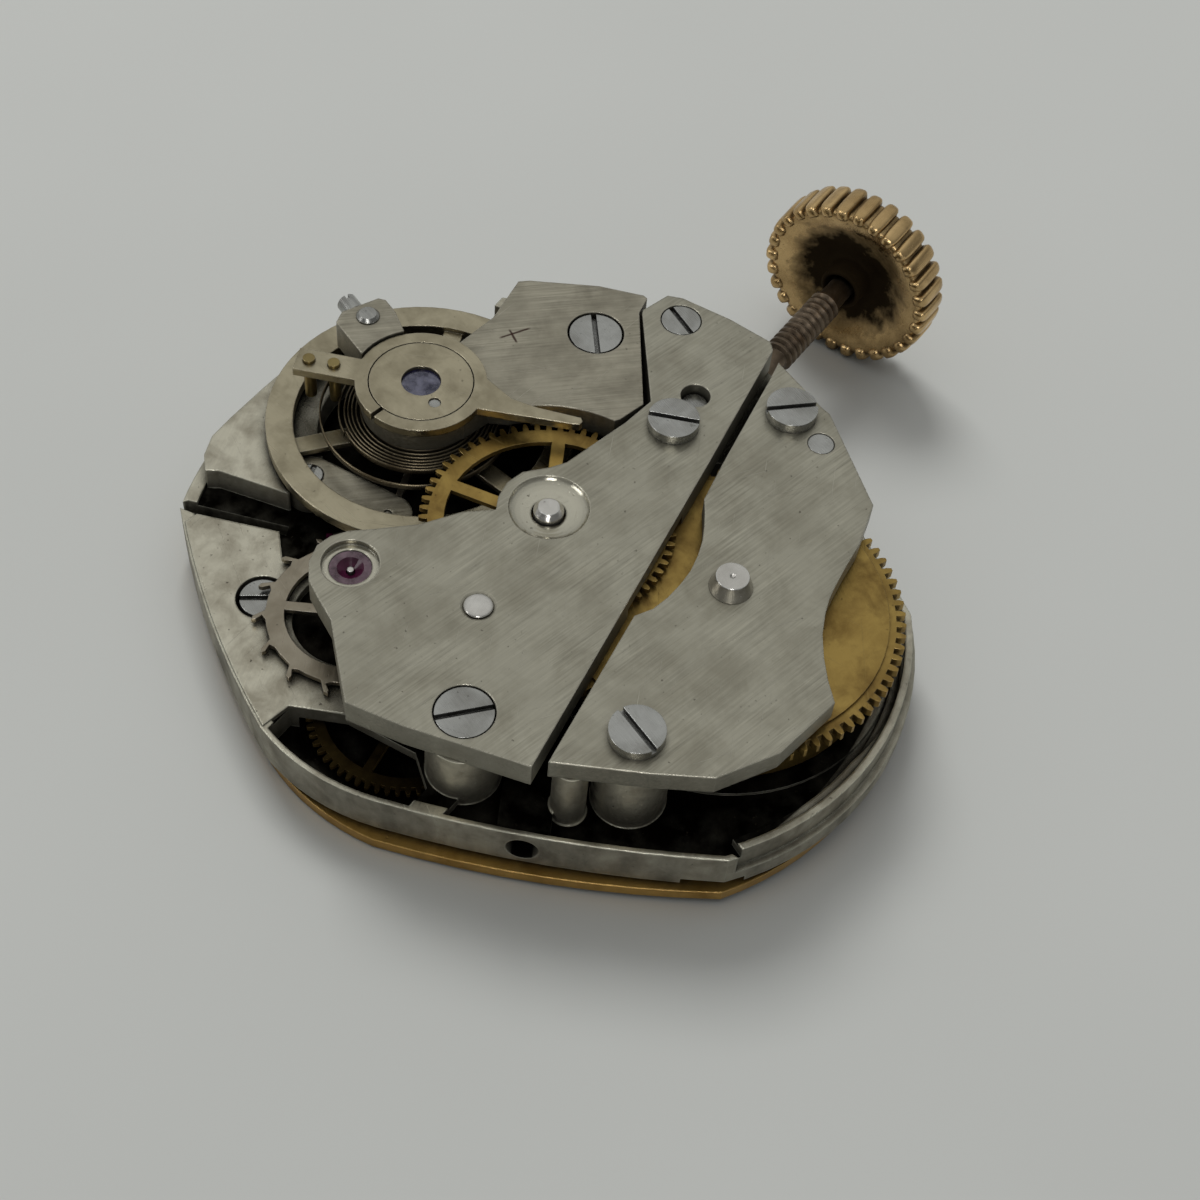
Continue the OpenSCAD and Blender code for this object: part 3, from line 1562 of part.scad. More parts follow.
main_plate();
dial();
train_bridge();
barrel_bridge();
balance_cock();
pallet_cock();
lower_train_cap();
keyless_cover();
raised_screws();
flush_screws();
setting_lever_screw();
pallet_cock_screw();
pad_screw();
dial_side_screws();
dial_foot_screw();
steady_pins();
hole_jewels();
cap_setting();
cap_jewels();
hairspring_stud();
stud_screw();
yoke_spring();
click_spring();
barrel_drum();
barrel_lid();
mainspring();
barrel_arbor();
ratchet_wheel();
ratchet_screw();
centre_wheel();
centre_arbor();
cannon_pinion();
third_wheel();
third_arbor();
fourth_wheel();
fourth_arbor();
escape_wheel();
escape_arbor();
pallet_fork();
pallet_stones();
pallet_staff();
balance_wheel();
balance_staff();
roller();
impulse_pin();
collet();
hairspring();
regulator();
curb_pins();
hour_wheel();
minute_wheel();
setting_wheel();
crown_wheel();
winding_pinion();
sliding_clutch();
stem();
crown();
setting_lever();
yoke();
click();
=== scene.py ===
import bmesh
import bpy
import json
import math
from mathutils import Matrix, Vector


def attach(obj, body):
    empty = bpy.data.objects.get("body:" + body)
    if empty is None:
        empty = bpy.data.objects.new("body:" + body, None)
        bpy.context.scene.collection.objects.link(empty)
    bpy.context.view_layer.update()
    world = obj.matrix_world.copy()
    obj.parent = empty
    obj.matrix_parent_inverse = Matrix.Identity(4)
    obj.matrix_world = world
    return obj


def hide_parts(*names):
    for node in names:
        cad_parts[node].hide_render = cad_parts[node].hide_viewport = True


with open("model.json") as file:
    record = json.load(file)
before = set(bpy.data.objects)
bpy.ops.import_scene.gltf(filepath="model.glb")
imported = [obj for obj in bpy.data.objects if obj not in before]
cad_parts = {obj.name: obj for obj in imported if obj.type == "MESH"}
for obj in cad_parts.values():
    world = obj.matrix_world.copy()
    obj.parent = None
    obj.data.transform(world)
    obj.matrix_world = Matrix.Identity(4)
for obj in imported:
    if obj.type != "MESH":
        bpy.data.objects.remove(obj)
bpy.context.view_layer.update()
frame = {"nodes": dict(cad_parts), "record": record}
scene = bpy.context.scene
mm = 0.001  # metres
stemAxis = dict(y=-0.87, z=1.4, crownBack=13.3)  # the winding stem runs along X


def put(tree, node, key, value):
    # a value, or the output socket that feeds it
    socket = node.inputs[key]
    if isinstance(value, bpy.types.NodeSocket):
        tree.links.new(value, socket)
    else:
        socket.default_value = value


def addNode(tree, kind, sockets=None, **settings):
    # nodes are laid out in rows in the order they are made
    row, column = divmod(len(tree.nodes), 12)
    node = tree.nodes.new(kind)
    node.location = (220 * column, -280 * row)
    for key, value in settings.items():
        setattr(node, key, value)
    for key, value in (sockets or {}).items():
        put(tree, node, key, value)
    return node


def maths(tree, operation, first, second=None, clamp=False):
    node = addNode(tree, "ShaderNodeMath", {0: first}, operation=operation, use_clamp=clamp)
    if second is not None:
        put(tree, node, 1, second)
    return node.outputs[0]


def plus(tree, first, second, clamp=False):
    return maths(tree, "ADD", first, second, clamp)


def minus(tree, first, second, clamp=False):
    return maths(tree, "SUBTRACT", first, second, clamp)


def times(tree, first, second):
    return maths(tree, "MULTIPLY", first, second)


def larger(tree, first, second):
    return maths(tree, "MAXIMUM", first, second)


def swing(tree, value, amount):
    # noise centred on zero and scaled
    return times(tree, minus(tree, value, 0.5), amount)


def vectorMaths(tree, operation, first, second):
    return addNode(tree, "ShaderNodeVectorMath", {0: first, 1: second}, operation=operation)


def coordinate(tree, vector, letter):
    return addNode(tree, "ShaderNodeSeparateXYZ", {0: vector}).outputs[letter]


def opaque(colour):
    return tuple(colour) + (1,)


def paler(colour, factor=1.3, lift=0.05):
    return opaque(min(1, channel * factor + lift) for channel in colour)


def mixColour(tree, factor, first, second):
    return addNode(tree, "ShaderNodeMix", {0: factor, 6: first, 7: second}, data_type="RGBA").outputs[2]


def ramp(tree, value, low, high, fromValue=0.0, toValue=1.0):
    sockets = {0: value, 1: low, 2: high, 3: fromValue, 4: toValue}
    return addNode(tree, "ShaderNodeMapRange", sockets, clamp=True).outputs[0]


def millimetres(tree, turn=0.0, stretch=(1, 1, 1), shift=(0, 0, 0)):
    # object coordinates in millimetres, turned about Z and stretched
    coords = addNode(tree, "ShaderNodeTexCoord").outputs["Object"]
    turned = addNode(tree, "ShaderNodeMapping", {0: coords, "Rotation": (0, 0, math.radians(turn))},
                     vector_type="TEXTURE").outputs[0]
    scale = tuple(s / mm for s in stretch)
    return addNode(tree, "ShaderNodeMapping", {0: turned, "Scale": scale, "Location": shift}).outputs[0]


def noise(tree, vector, scale, detail=3.0, rough=0.55, warp=0.0):
    return addNode(tree, "ShaderNodeTexNoise", {
        "Vector": vector, "Scale": scale, "Detail": detail, "Roughness": rough, "Distortion": warp}).outputs[0]


def hairlines(tree, turn, length, width, low, high, shift):
    # thin scratches that run at one angle
    vector = millimetres(tree, turn, (1 / length, 1 / width, 1 / width), (shift, shift * 1.7, shift * 0.6))
    return ramp(tree, noise(tree, vector, 1.0, detail=1.0, rough=0.4, warp=0.15), low, high)


def distanceFrom(tree, place, keep):
    # distance in millimetres from a line; keep is 0 along the line and 1 across it
    across = vectorMaths(tree, "MULTIPLY", millimetres(tree), keep).outputs[0]
    return vectorMaths(tree, "DISTANCE", across, place).outputs["Value"]


def roundSpot(tree, x, y, radius, soft):
    # 1 inside a circle seen from above, fading over the soft width
    return ramp(tree, distanceFrom(tree, (x, y, 0), (1, 1, 0)), radius + soft, radius)


def engravedStroke(tree, x, y, length, width, angle):
    # 1 inside a short straight cut seen from above, with uneven sides
    taper, soft = 0.1, 0.03
    coords = addNode(tree, "ShaderNodeTexCoord").outputs["Object"]
    turned = addNode(tree, "ShaderNodeMapping", {
        0: coords, "Location": (x * mm, y * mm, 0), "Rotation": (0, 0, math.radians(angle)),
        "Scale": (mm, mm, mm)}, vector_type="TEXTURE").outputs[0]
    along = maths(tree, "ABSOLUTE", coordinate(tree, turned, "X"))
    across = maths(tree, "ABSOLUTE", coordinate(tree, turned, "Y"))
    across = plus(tree, across, times(tree, noise(tree, millimetres(tree), 6.0, detail=2.0), soft))
    return times(tree, ramp(tree, along, length / 2, length / 2 - taper),
                 ramp(tree, across, width / 2 + soft, width / 2))


def newMaterial(name):
    material = bpy.data.materials.new(name)
    material.use_nodes = True
    tree = material.node_tree
    tree.nodes.clear()
    surface = addNode(tree, "ShaderNodeBsdfPrincipled")
    addNode(tree, "ShaderNodeOutputMaterial", {0: surface.outputs[0]})
    return material, tree, surface


# every metal starts from these; lengths in millimetres, turn in degrees, the rest plain strengths
usual = dict(
    turn=0, grainLength=1.8, grainWidth=0.065, grainTone=0.22, grainDepth=1.0,  # brushing
    rough=0.36, patchScale=0.8, scratch=0.3, pits=0.35, relief=0.45, waviness=0.8,
    edge=0.045, edgeHighlightTone=0.9,  # painted highlights along the edges
    shadeAndGrime=0.9, reach=0.4, shadeAndDirtColour=(0.008, 0.006, 0.004),  # painted shade and grime in corners
    deepFlat=1.0, deepSide=0.5, deepReach=2.6, clearAt=0.72, blackAt=0.42,  # painted shade in closed spaces
    walls=0.0, sunk=0.0, sunkTone=0.85, inside=(), cleared=(), hollowDark=0.0,
    stains=0.0, stain=(0.10, 0.06, 0.02), polished=(), engraved=(), gloss=0.3)
# what all metals share; the depths are in relief heights
shared = dict(
    reliefHeight=0.012, scratchDepth=0.8, pitDepth=1.5, pitColour=(0.04, 0.034, 0.024, 1),
    cutColour=(0.045, 0.02, 0.016, 1), cutTone=0.9, clearing=0.85, shadeAndDirtTone=0.9,
    polishedRough=0.14, grainRough=0.07, patchRough=(-0.02, 0.04), shadeAndDirtRough=0.4, edgeShine=0.1)


def polishedSpots(tree, look):
    # 1 inside the round polished places
    spots = None
    for x, y, radius in look["polished"]:
        spot = roundSpot(tree, x, y, radius, soft=0.03)
        spots = spot if spots is None else larger(tree, spots, spot)
    return spots


def graining(tree, look, plain, polished):
    # fine lines along one direction, strong in places and nearly gone in others
    width = look["grainWidth"]
    vector = millimetres(tree, look["turn"], (1 / look["grainLength"], 1 / width, 1 / width))
    grain = noise(tree, vector, 1.0, detail=3.0, rough=0.7)
    strong = ramp(tree, noise(tree, plain, 0.55, detail=2.0), 0.35, 0.65, 0.35, 1.0)
    if look["polished"]:
        strong = times(tree, strong, minus(tree, 1.0, polished))
    return grain, strong


def scratches(tree, look):
    first = hairlines(tree, look["turn"] + 38, length=1.7, width=0.032, low=0.73, high=0.79, shift=3.1)
    second = hairlines(tree, look["turn"] - 21, length=2.4, width=0.036, low=0.74, high=0.80, shift=7.3)
    return larger(tree, first, second)


def softEdgesAndHighlights(tree, look, plain, normal):
    # the softened normal, and 1 where it leaves the face's own, for a painted highlight along the edges
    soft = addNode(tree, "ShaderNodeBevel", {"Radius": look["edge"] * mm}, samples=4).outputs[0]
    agree = vectorMaths(tree, "DOT_PRODUCT", soft, normal).outputs["Value"]
    broken = ramp(tree, noise(tree, plain, 2.2, detail=4.0, rough=0.6), 0.3, 0.6, 0.3, 1.0)
    return soft, times(tree, ramp(tree, agree, 0.995, 0.85), broken)


def openness(tree, reach):
    return addNode(tree, "ShaderNodeAmbientOcclusion", {"Distance": reach * mm}, samples=4).outputs["AO"]


def cornerShadeAndGrime(tree, look, plain):
    # painted shade and grime: darker where little round the surface is open (ambient occlusion), unevenly
    crevice = ramp(tree, openness(tree, look["reach"]), 0.80, 0.30)
    uneven = ramp(tree, noise(tree, plain, 3.5, detail=4.0), 0.3, 0.65, 0.5, 1.0)
    return times(tree, times(tree, crevice, uneven), look["shadeAndGrime"])


def paintedShadeMask(tree, look, plain, normal):
    # painted shade: dark in closed spaces, on upright faces and on sunk floors
    up = coordinate(tree, normal, "Z")
    level = maths(tree, "ABSOLUTE", up)
    share = ramp(tree, level, 0.3, 0.8, look["deepSide"], look["deepFlat"])
    closed = ramp(tree, openness(tree, look["deepReach"]), look["clearAt"], look["blackAt"])
    paintedShade = times(tree, closed, share)
    # painted shade on upright faces, in vertical streaks
    if look["walls"]:
        streaks = noise(tree, millimetres(tree, stretch=(1.2, 1.2, 0.35)), 1.0, detail=4.0)
        wall = times(tree, ramp(tree, level, 0.5, 0.2), ramp(tree, streaks, 0.3, 0.65, 0.5, 1.0))
        paintedShade = larger(tree, paintedShade, times(tree, wall, look["walls"]))
    if look["sunk"]:
        # painted shade: level floors below this height are black
        low = ramp(tree, coordinate(tree, plain, "Z"), look["sunk"] + 0.04, look["sunk"] - 0.02)
        low = times(tree, low, ramp(tree, up, 0.5, 0.8))
        low = times(tree, low, ramp(tree, noise(tree, plain, 1.7), 0.25, 0.6, 0.94, 1.0))
        for x, y, radius in look["inside"]:
            low = times(tree, low, roundSpot(tree, x, y, radius, soft=0.05))
        paintedShade = larger(tree, paintedShade, times(tree, low, look["sunkTone"]))
    for x, y, radius in look["cleared"]:
        spot = roundSpot(tree, x, y, radius, soft=0.02)
        paintedShade = times(tree, paintedShade, minus(tree, 1.0, times(tree, spot, shared["clearing"])))
    return paintedShade


def crownHollowDarkPatch(tree, look, plain):
    # darker round the stem in the hollow of the crown's back, with a ragged edge
    back = stemAxis["crownBack"]
    ragged = distanceFrom(tree, (0, stemAxis["y"], stemAxis["z"]), (0, 1, 1))
    ragged = plus(tree, ragged, swing(tree, noise(tree, plain, 1.1, detail=4.0, rough=0.6), 1.6))
    ragged = plus(tree, ragged, swing(tree, noise(tree, plain, 5.0), 0.4))
    darkPatch = ramp(tree, ragged, look["hollowDark"] + 0.30, look["hollowDark"] - 0.32, 0.0, 0.97)
    behind = ramp(tree, coordinate(tree, plain, "X"), back + 0.9, back + 0.7)
    return times(tree, darkPatch, behind)


def metalMaterial(name, base, shade, look):
    look = {**usual, **look}
    material, tree, surface = newMaterial(name)
    plain = millimetres(tree)
    normal = addNode(tree, "ShaderNodeNewGeometry").outputs["Normal"]
    polished = polishedSpots(tree, look)
    grain, grainHere = graining(tree, look, plain, polished)
    lines = scratches(tree, look)
    softNormal, edge = softEdgesAndHighlights(tree, look, plain, normal)
    shadeAndGrime = cornerShadeAndGrime(tree, look, plain)
    paintedShade = paintedShadeMask(tree, look, plain, normal)
    pits = ramp(tree, noise(tree, plain, 8.0, detail=2.0, rough=0.5), 0.71, 0.77)

    # colour, from the bare metal up to what lies on it, with painted edge highlights and painted shade
    patches = noise(tree, plain, look["patchScale"], detail=5.0, rough=0.6, warp=0.3)
    colour = mixColour(tree, ramp(tree, patches, 0.40, 0.66), opaque(base), opaque(shade))
    grainTone = plus(tree, times(tree, swing(tree, grain, look["grainTone"] * 4), grainHere), 1.0)
    toned = addNode(tree, "ShaderNodeVectorMath", {0: colour, "Scale": grainTone}, operation="SCALE")
    colour = toned.outputs[0]
    if look["polished"]:
        colour = mixColour(tree, polished, colour, paler(base, factor=1.3, lift=0.03))
    if look["stains"]:
        islands = noise(tree, plain, 1.3, detail=6.0, rough=0.62, warp=0.5)
        islands = ramp(tree, islands, 0.50, 0.72, 0.0, look["stains"])
        colour = mixColour(tree, islands, colour, opaque(look["stain"]))
    colour = mixColour(tree, times(tree, lines, look["scratch"]), colour, paler(base))
    # painted highlight along the edges
    colour = mixColour(tree, times(tree, edge, look["edgeHighlightTone"]), colour, paler(base, factor=1.5, lift=0.08))
    for stroke in look["engraved"]:
        cut = times(tree, engravedStroke(tree, *stroke), shared["cutTone"])
        colour = mixColour(tree, cut, colour, shared["cutColour"])
    # darker round the stem in the crown's hollow
    if look["hollowDark"]:
        shadeAndGrime = larger(tree, shadeAndGrime, crownHollowDarkPatch(tree, look, plain))
    # painted shade and grime in corners
    colour = mixColour(tree, shadeAndGrime, colour, opaque(look["shadeAndDirtColour"]))
    # painted shade: closed spaces, upright faces and sunk floors go nearly black
    colour = mixColour(tree, paintedShade, colour, opaque(0.25 * channel for channel in look["shadeAndDirtColour"]))
    colour = mixColour(tree, times(tree, pits, look["pits"]), colour, shared["pitColour"])
    put(tree, surface, "Base Color", colour)

    # shine: dull under the painted shade and grime, bright on edges and polished spots
    shadeAndDirt = larger(tree, shadeAndGrime, paintedShade)
    spread = shared["grainRough"]
    rough = ramp(tree, grain, 0.25, 0.75, look["rough"] - spread, look["rough"] + spread)
    rough = plus(tree, rough, ramp(tree, patches, 0.35, 0.7, *shared["patchRough"]))
    if look["polished"]:
        rough = minus(tree, rough, times(tree, polished, look["rough"] - shared["polishedRough"]))
    rough = plus(tree, rough, times(tree, shadeAndDirt, shared["shadeAndDirtRough"]), clamp=True)
    rough = minus(tree, rough, times(tree, edge, shared["edgeShine"]), clamp=True)
    put(tree, surface, "Roughness", rough)
    # under the painted shade and grime the metal loses its metal look and gloss, so it reads nearly black
    put(tree, surface, "Metallic", minus(tree, 1.0, times(tree, shadeAndDirt, shared["shadeAndDirtTone"]), clamp=True))
    outsideShadeAndDirt = minus(tree, 1.0, shadeAndDirt, clamp=True)
    put(tree, surface, "Specular IOR Level", times(tree, outsideShadeAndDirt, look["gloss"]))

    # grain, scratches, waves and pits in relief
    height = times(tree, times(tree, grain, grainHere), look["grainDepth"])
    height = minus(tree, height, times(tree, lines, shared["scratchDepth"]))
    height = plus(tree, height, times(tree, noise(tree, plain, 1.6), look["waviness"]))
    height = minus(tree, height, times(tree, pits, shared["pitDepth"]))
    bump = addNode(tree, "ShaderNodeBump", {
        "Strength": look["relief"], "Distance": shared["reliefHeight"] * mm, "Height": height,
        "Normal": softNormal})
    put(tree, surface, "Normal", bump.outputs[0])
    return material


def stoneMaterial(name, deep, light):
    # clouded coloured stone with a little dust
    material, tree, surface = newMaterial(name)
    plain = millimetres(tree)
    cloud = noise(tree, plain, 3.0, detail=4.0, rough=0.6)
    colour = mixColour(tree, ramp(tree, cloud, 0.35, 0.7), opaque(deep), opaque(light))
    dust = ramp(tree, noise(tree, plain, 14.0), 0.64, 0.76, 0.0, 0.2)
    put(tree, surface, "Base Color", mixColour(tree, dust, colour, (0.3, 0.26, 0.26, 1)))
    put(tree, surface, "Roughness", ramp(tree, cloud, 0.3, 0.7, 0.08, 0.25))
    put(tree, surface, "IOR", 1.76)
    put(tree, surface, "Specular IOR Level", 0.15)
    put(tree, surface, "Transmission Weight", 0.15)
    return material


print("metals and stones")
# clean colour, patchy second colour, and what differs from the usual;
# round places are x, y and radius, engraved strokes are x, y, length, width and angle
openMetal = dict(clearAt=0.5, blackAt=0.3)  # only nearly closed gaps get painted shade
# bridges: scratches and wear, with painted edge highlights and painted shade
bridgeWearAndPaintedLight = dict(rough=0.34, edge=0.075, edgeHighlightTone=1.0, scratch=0.6, walls=0.35, reach=0.3, shadeAndGrime=0.85,
                  deepReach=1.6, **openMetal)
looks = {
    # plate: painted shade on its walls and sunk floors, cleared round the pillars
    "plate_nickel": ((0.64, 0.605, 0.49), (0.40, 0.365, 0.285), dict(
        turn=20, rough=0.38, grainTone=0.10, grainDepth=0.6, patchScale=1.3, scratch=0.4, pits=0.6, relief=0.6,
        waviness=2.4, edge=0.08, reach=0.6, deepSide=0.55, walls=0.62, sunk=1.25, sunkTone=1.0,
        inside=((-0.6, 0.9, 9.95),), cleared=((-6, -2, 0.905), (-4.17, -5.46, 0.905), (-5.35, -4.55, 0.455)))),
    "bridge_nickel": ((0.41, 0.39, 0.315), (0.32, 0.30, 0.237), dict(
        bridgeWearAndPaintedLight, turn=-12, grainTone=0.30, pits=0.5, polished=((0, 0, 1.0), (-4.3, 2.7, 0.7)))),
    "cock_nickel": ((0.40, 0.37, 0.292), (0.28, 0.257, 0.20), dict(
        bridgeWearAndPaintedLight, turn=-44, grainTone=0.40,
        engraved=((4.2, 4.15, 0.94, 0.06, -27.5), (4.08, 4.12, 0.58, 0.06, 59)))),
    "dial_gold": ((0.58, 0.36, 0.10), (0.38, 0.22, 0.05), dict(
        rough=0.34, grainTone=0.06, pits=0.3, deepFlat=0.5, deepSide=0.0)),
    "screw_steel": ((0.42, 0.42, 0.40), (0.28, 0.275, 0.255), dict(
        openMetal, turn=70, rough=0.25, grainTone=0.12, grainWidth=0.05, grainLength=1.0, scratch=0.5,
        edge=0.03, reach=0.2, deepReach=1.2)),
    "arbor_steel": ((0.66, 0.64, 0.60), (0.50, 0.48, 0.44), dict(
        openMetal, turn=10, rough=0.17, grainTone=0.05, waviness=2.5, edge=0.05, reach=0.12, shadeAndGrime=0.6,
        deepReach=1.6)),
    "escape_steel": ((0.35, 0.31, 0.24), (0.24, 0.205, 0.15), dict(
        turn=30, rough=0.32, grainTone=0.08, edge=0.03, reach=0.2, deepReach=1.2, clearAt=0.45, blackAt=0.2)),
    # train wheels: the sunk fourth wheel gets painted shade
    "train_brass": ((0.42, 0.285, 0.085), (0.26, 0.165, 0.048), dict(
        turn=55, grainTone=0.10, edge=0.03, edgeHighlightTone=0.6, reach=0.22, stains=0.65, stain=(0.13, 0.075, 0.025),
        shadeAndDirtColour=(0.012, 0.007, 0.003), deepReach=2.0, deepFlat=0.0, sunk=0.9, sunkTone=0.97)),
    "balance_nickel": ((0.46, 0.41, 0.29), (0.33, 0.29, 0.20), dict(
        openMetal, turn=80, rough=0.33, grainTone=0.08, edge=0.05, reach=0.22, stains=0.35,
        stain=(0.12, 0.095, 0.055), deepReach=1.6)),
    "hairspring_alloy": ((0.26, 0.215, 0.14), (0.13, 0.10, 0.06), dict(
        rough=0.26, grainTone=0.06, scratch=0.1, edge=0.01, reach=0.12, deepFlat=0.5)),
    "stem_steel": ((0.20, 0.155, 0.11), (0.085, 0.06, 0.04), dict(
        grainTone=0.08, edge=0.025, reach=0.2, stains=0.6, stain=(0.10, 0.055, 0.025))),
    "crown_gold": ((0.66, 0.46, 0.22), (0.42, 0.28, 0.125), dict(
        rough=0.24, grainTone=0.06, pits=0.4, waviness=1.6, edge=0.05, reach=0.3, stains=0.45,
        stain=(0.14, 0.085, 0.035), shadeAndDirtColour=(0.014, 0.009, 0.005), hollowDark=1.6, deepFlat=0.5)),
    "curb_bronze": ((0.30, 0.235, 0.10), (0.2, 0.15, 0.065), dict(
        openMetal, rough=0.34, grainTone=0.06, edge=0.03, reach=0.2, deepReach=1.2)),
}
ownLook = {"curb_pins": "curb_bronze"}  # duller than the wheels that share their slot
materials = {name: metalMaterial(name, *values) for name, values in looks.items()}
materials["ruby"] = stoneMaterial("ruby", deep=(0.03, 0.002, 0.014), light=(0.085, 0.007, 0.04))
materials["cap_jewel"] = stoneMaterial("cap_jewel", deep=(0.006, 0.006, 0.03), light=(0.035, 0.033, 0.10))

for entry in frame["record"]["subparts"]:
    node = frame["nodes"][entry["node"]]
    node.data.materials.clear()
    node.data.materials.append(materials[ownLook.get(entry["node"], entry["material_slot"])])
    for polygon in node.data.polygons:
        polygon.material_index = 0


socketKinds = {int: "NodeSocketInt", float: "NodeSocketFloat", tuple: "NodeSocketVector",
               bpy.types.Material: "NodeSocketMaterial"}


def newTree(name, values):
    # a geometry tree with one named input for each value
    tree = bpy.data.node_groups.new(name, "GeometryNodeTree")
    for label, value in values.items():
        socket = tree.interface.new_socket(label, in_out="INPUT", socket_type=socketKinds[type(value)])
        socket.default_value = value
    tree.interface.new_socket("Geometry", in_out="OUTPUT", socket_type="NodeSocketGeometry")
    return tree, addNode(tree, "NodeGroupInput").outputs


def finishTree(tree, geometry, given):
    # Realize Instances and Set Material end every tree
    real = addNode(tree, "GeometryNodeRealizeInstances", {0: geometry})
    finish = addNode(tree, "GeometryNodeSetMaterial", {0: real.outputs[0], "Material": given["Finish"]})
    addNode(tree, "NodeGroupOutput", {0: finish.outputs[0]})


def addPiece(name, mesh):
    piece = bpy.data.objects.new(name, mesh)
    scene.collection.objects.link(piece)
    return piece


def plainPiece(name, tree, values):
    # runs the tree and keeps its result as a plain mesh
    start = addPiece(name + "_start", bpy.data.meshes.new(name + "_start"))
    modifier = start.modifiers.new("shape", "NODES")
    modifier.node_group = tree
    for item in tree.interface.items_tree:
        if item.in_out == "INPUT":
            modifier[item.identifier] = values[item.name]
    bpy.context.view_layer.update()
    mesh = bpy.data.meshes.new_from_object(start.evaluated_get(bpy.context.evaluated_depsgraph_get()))
    mesh.name = name
    bpy.data.objects.remove(start)
    return addPiece(name, mesh)


def lathe(name, profile, segments, place, axis, material):
    # turns (along, radius) pairs round an axis; both ends meet it, so the shell is closed
    along = Vector(axis)
    across = along.cross(Vector((0, 0, 1)) if abs(axis[2]) < 0.5 else Vector((1, 0, 0))).normalized()
    third = along.cross(across)
    points, faces, rings = [], [], []
    for distance, radius in profile:
        middle = Vector(place) + along * distance
        count = segments if radius else 1
        rings.append(list(range(len(points), len(points) + count)))
        for step in range(count):
            angle = 2 * math.pi * step / segments
            points.append((middle + (across * math.cos(angle) + third * math.sin(angle)) * radius) * mm)
    for lower, upper in zip(rings, rings[1:]):
        for step in range(segments):
            after = (step + 1) % segments
            if len(lower) == 1:
                faces.append((lower[0], upper[after], upper[step]))
            elif len(upper) == 1:
                faces.append((lower[step], lower[after], upper[0]))
            else:
                faces.append((lower[step], lower[after], upper[after], upper[step]))
    mesh = bpy.data.meshes.new(name)
    mesh.from_pydata(points, [], faces)
    turned = bmesh.new()
    turned.from_mesh(mesh)
    bmesh.ops.recalc_face_normals(turned, faces=turned.faces)
    turned.to_mesh(mesh)
    turned.free()
    mesh.materials.append(material)
    for polygon in mesh.polygons:
        polygon.use_smooth = True
    return addPiece(name, mesh)


print("hairspring")
# flat spiral; the outer turns lie close together, the last one is level and ends at the stud.
# the coils turn with the balance and the last turn stays with the stud, just outside them
spring = dict(inner=0.42, bunch=2.16, outer=2.6, turns=11.0, crowding=0.52, stepsPerTurn=48,
              thick=0.035, high=0.17, bottom=2.53, centre=(1.16, 4.86), gap=0.06,
              level=100.0, rise=230.0, overlap=110.0, studAngle=70.0)  # in degrees
allDegrees = 360 * spring["turns"]
parting = 1 - (spring["level"] + spring["rise"] + spring["overlap"]) / allDegrees


def springValues(start, end, gap):
    # the tree's inputs for one stretch of the spiral, start and end being shares of its whole turning
    middle = spring["bottom"] + spring["high"] / 2
    return {"Inner Radius": spring["inner"] * mm, "Bunch Radius": (spring["bunch"] + gap) * mm,
            "Outer Radius": spring["outer"] * mm, "Turns": spring["turns"], "Crowding": spring["crowding"],
            "Steps": int((end - start) * spring["turns"] * spring["stepsPerTurn"]) + 1,
            "Level Share": spring["level"] / allDegrees, "Rise Share": spring["rise"] / allDegrees,
            "End Angle": math.radians(spring["studAngle"]), "Thickness": spring["thick"] * mm,
            "Height": spring["high"] * mm, "Start Share": start, "End Share": end,
            "Centre": (spring["centre"][0] * mm, spring["centre"][1] * mm, middle * mm),
            "Finish": materials["hairspring_alloy"]}


tree, given = newTree("spiralStrip", springValues(0.0, 1.0, 0.0))
line = addNode(tree, "GeometryNodeMeshLine", {"Count": given["Steps"]})
index = addNode(tree, "GeometryNodeInputIndex").outputs[0]
travel = maths(tree, "DIVIDE", index, minus(tree, given["Steps"], 1.0))
travel = times(tree, travel, minus(tree, given["End Share"], given["Start Share"]))
travel = plus(tree, travel, given["Start Share"])
angle = times(tree, times(tree, minus(tree, 1.0, travel), given["Turns"]), 2 * math.pi)
angle = plus(tree, angle, given["End Angle"])
crowd = maths(tree, "POWER", travel, given["Crowding"])
radius = times(tree, crowd, minus(tree, given["Bunch Radius"], given["Inner Radius"]))
radius = plus(tree, radius, given["Inner Radius"])
# the rise from the bunch out to the level turn
riseEnd = minus(tree, 1.0, given["Level Share"])
rise = addNode(tree, "ShaderNodeMapRange", {
    "Value": travel, "From Min": minus(tree, riseEnd, given["Rise Share"]), "From Max": riseEnd},
    interpolation_type="SMOOTHSTEP").outputs[0]
radius = plus(tree, radius, times(tree, minus(tree, given["Outer Radius"], radius), rise))
spot = addNode(tree, "ShaderNodeCombineXYZ", {
    "X": times(tree, maths(tree, "COSINE", angle), radius),
    "Y": times(tree, maths(tree, "SINE", angle), radius)}).outputs[0]
spot = vectorMaths(tree, "ADD", spot, given["Centre"]).outputs[0]
move = addNode(tree, "GeometryNodeSetPosition", {"Geometry": line.outputs[0], "Position": spot})
path = addNode(tree, "GeometryNodeMeshToCurve", {0: move.outputs[0]})
upright = addNode(tree, "GeometryNodeSetCurveNormal", {0: path.outputs[0]}, mode="Z_UP")
strip = addNode(tree, "GeometryNodeCurvePrimitiveQuadrilateral", {
    "Width": given["Thickness"], "Height": given["Height"]})
sweep = addNode(tree, "GeometryNodeCurveToMesh", {
    "Curve": upright.outputs[0], "Profile Curve": strip.outputs[0], "Fill Caps": True})
finishTree(tree, sweep.outputs[0], given)

coils = plainPiece("hairspring_coils", tree, springValues(0.0, parting, 0.0))
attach(coils, "balance")
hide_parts("hairspring")
lastTurn = plainPiece("hairspring_end", tree, springValues(parting, 1.0, spring["gap"]))
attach(lastTurn, "movement_frame")

print("crown")
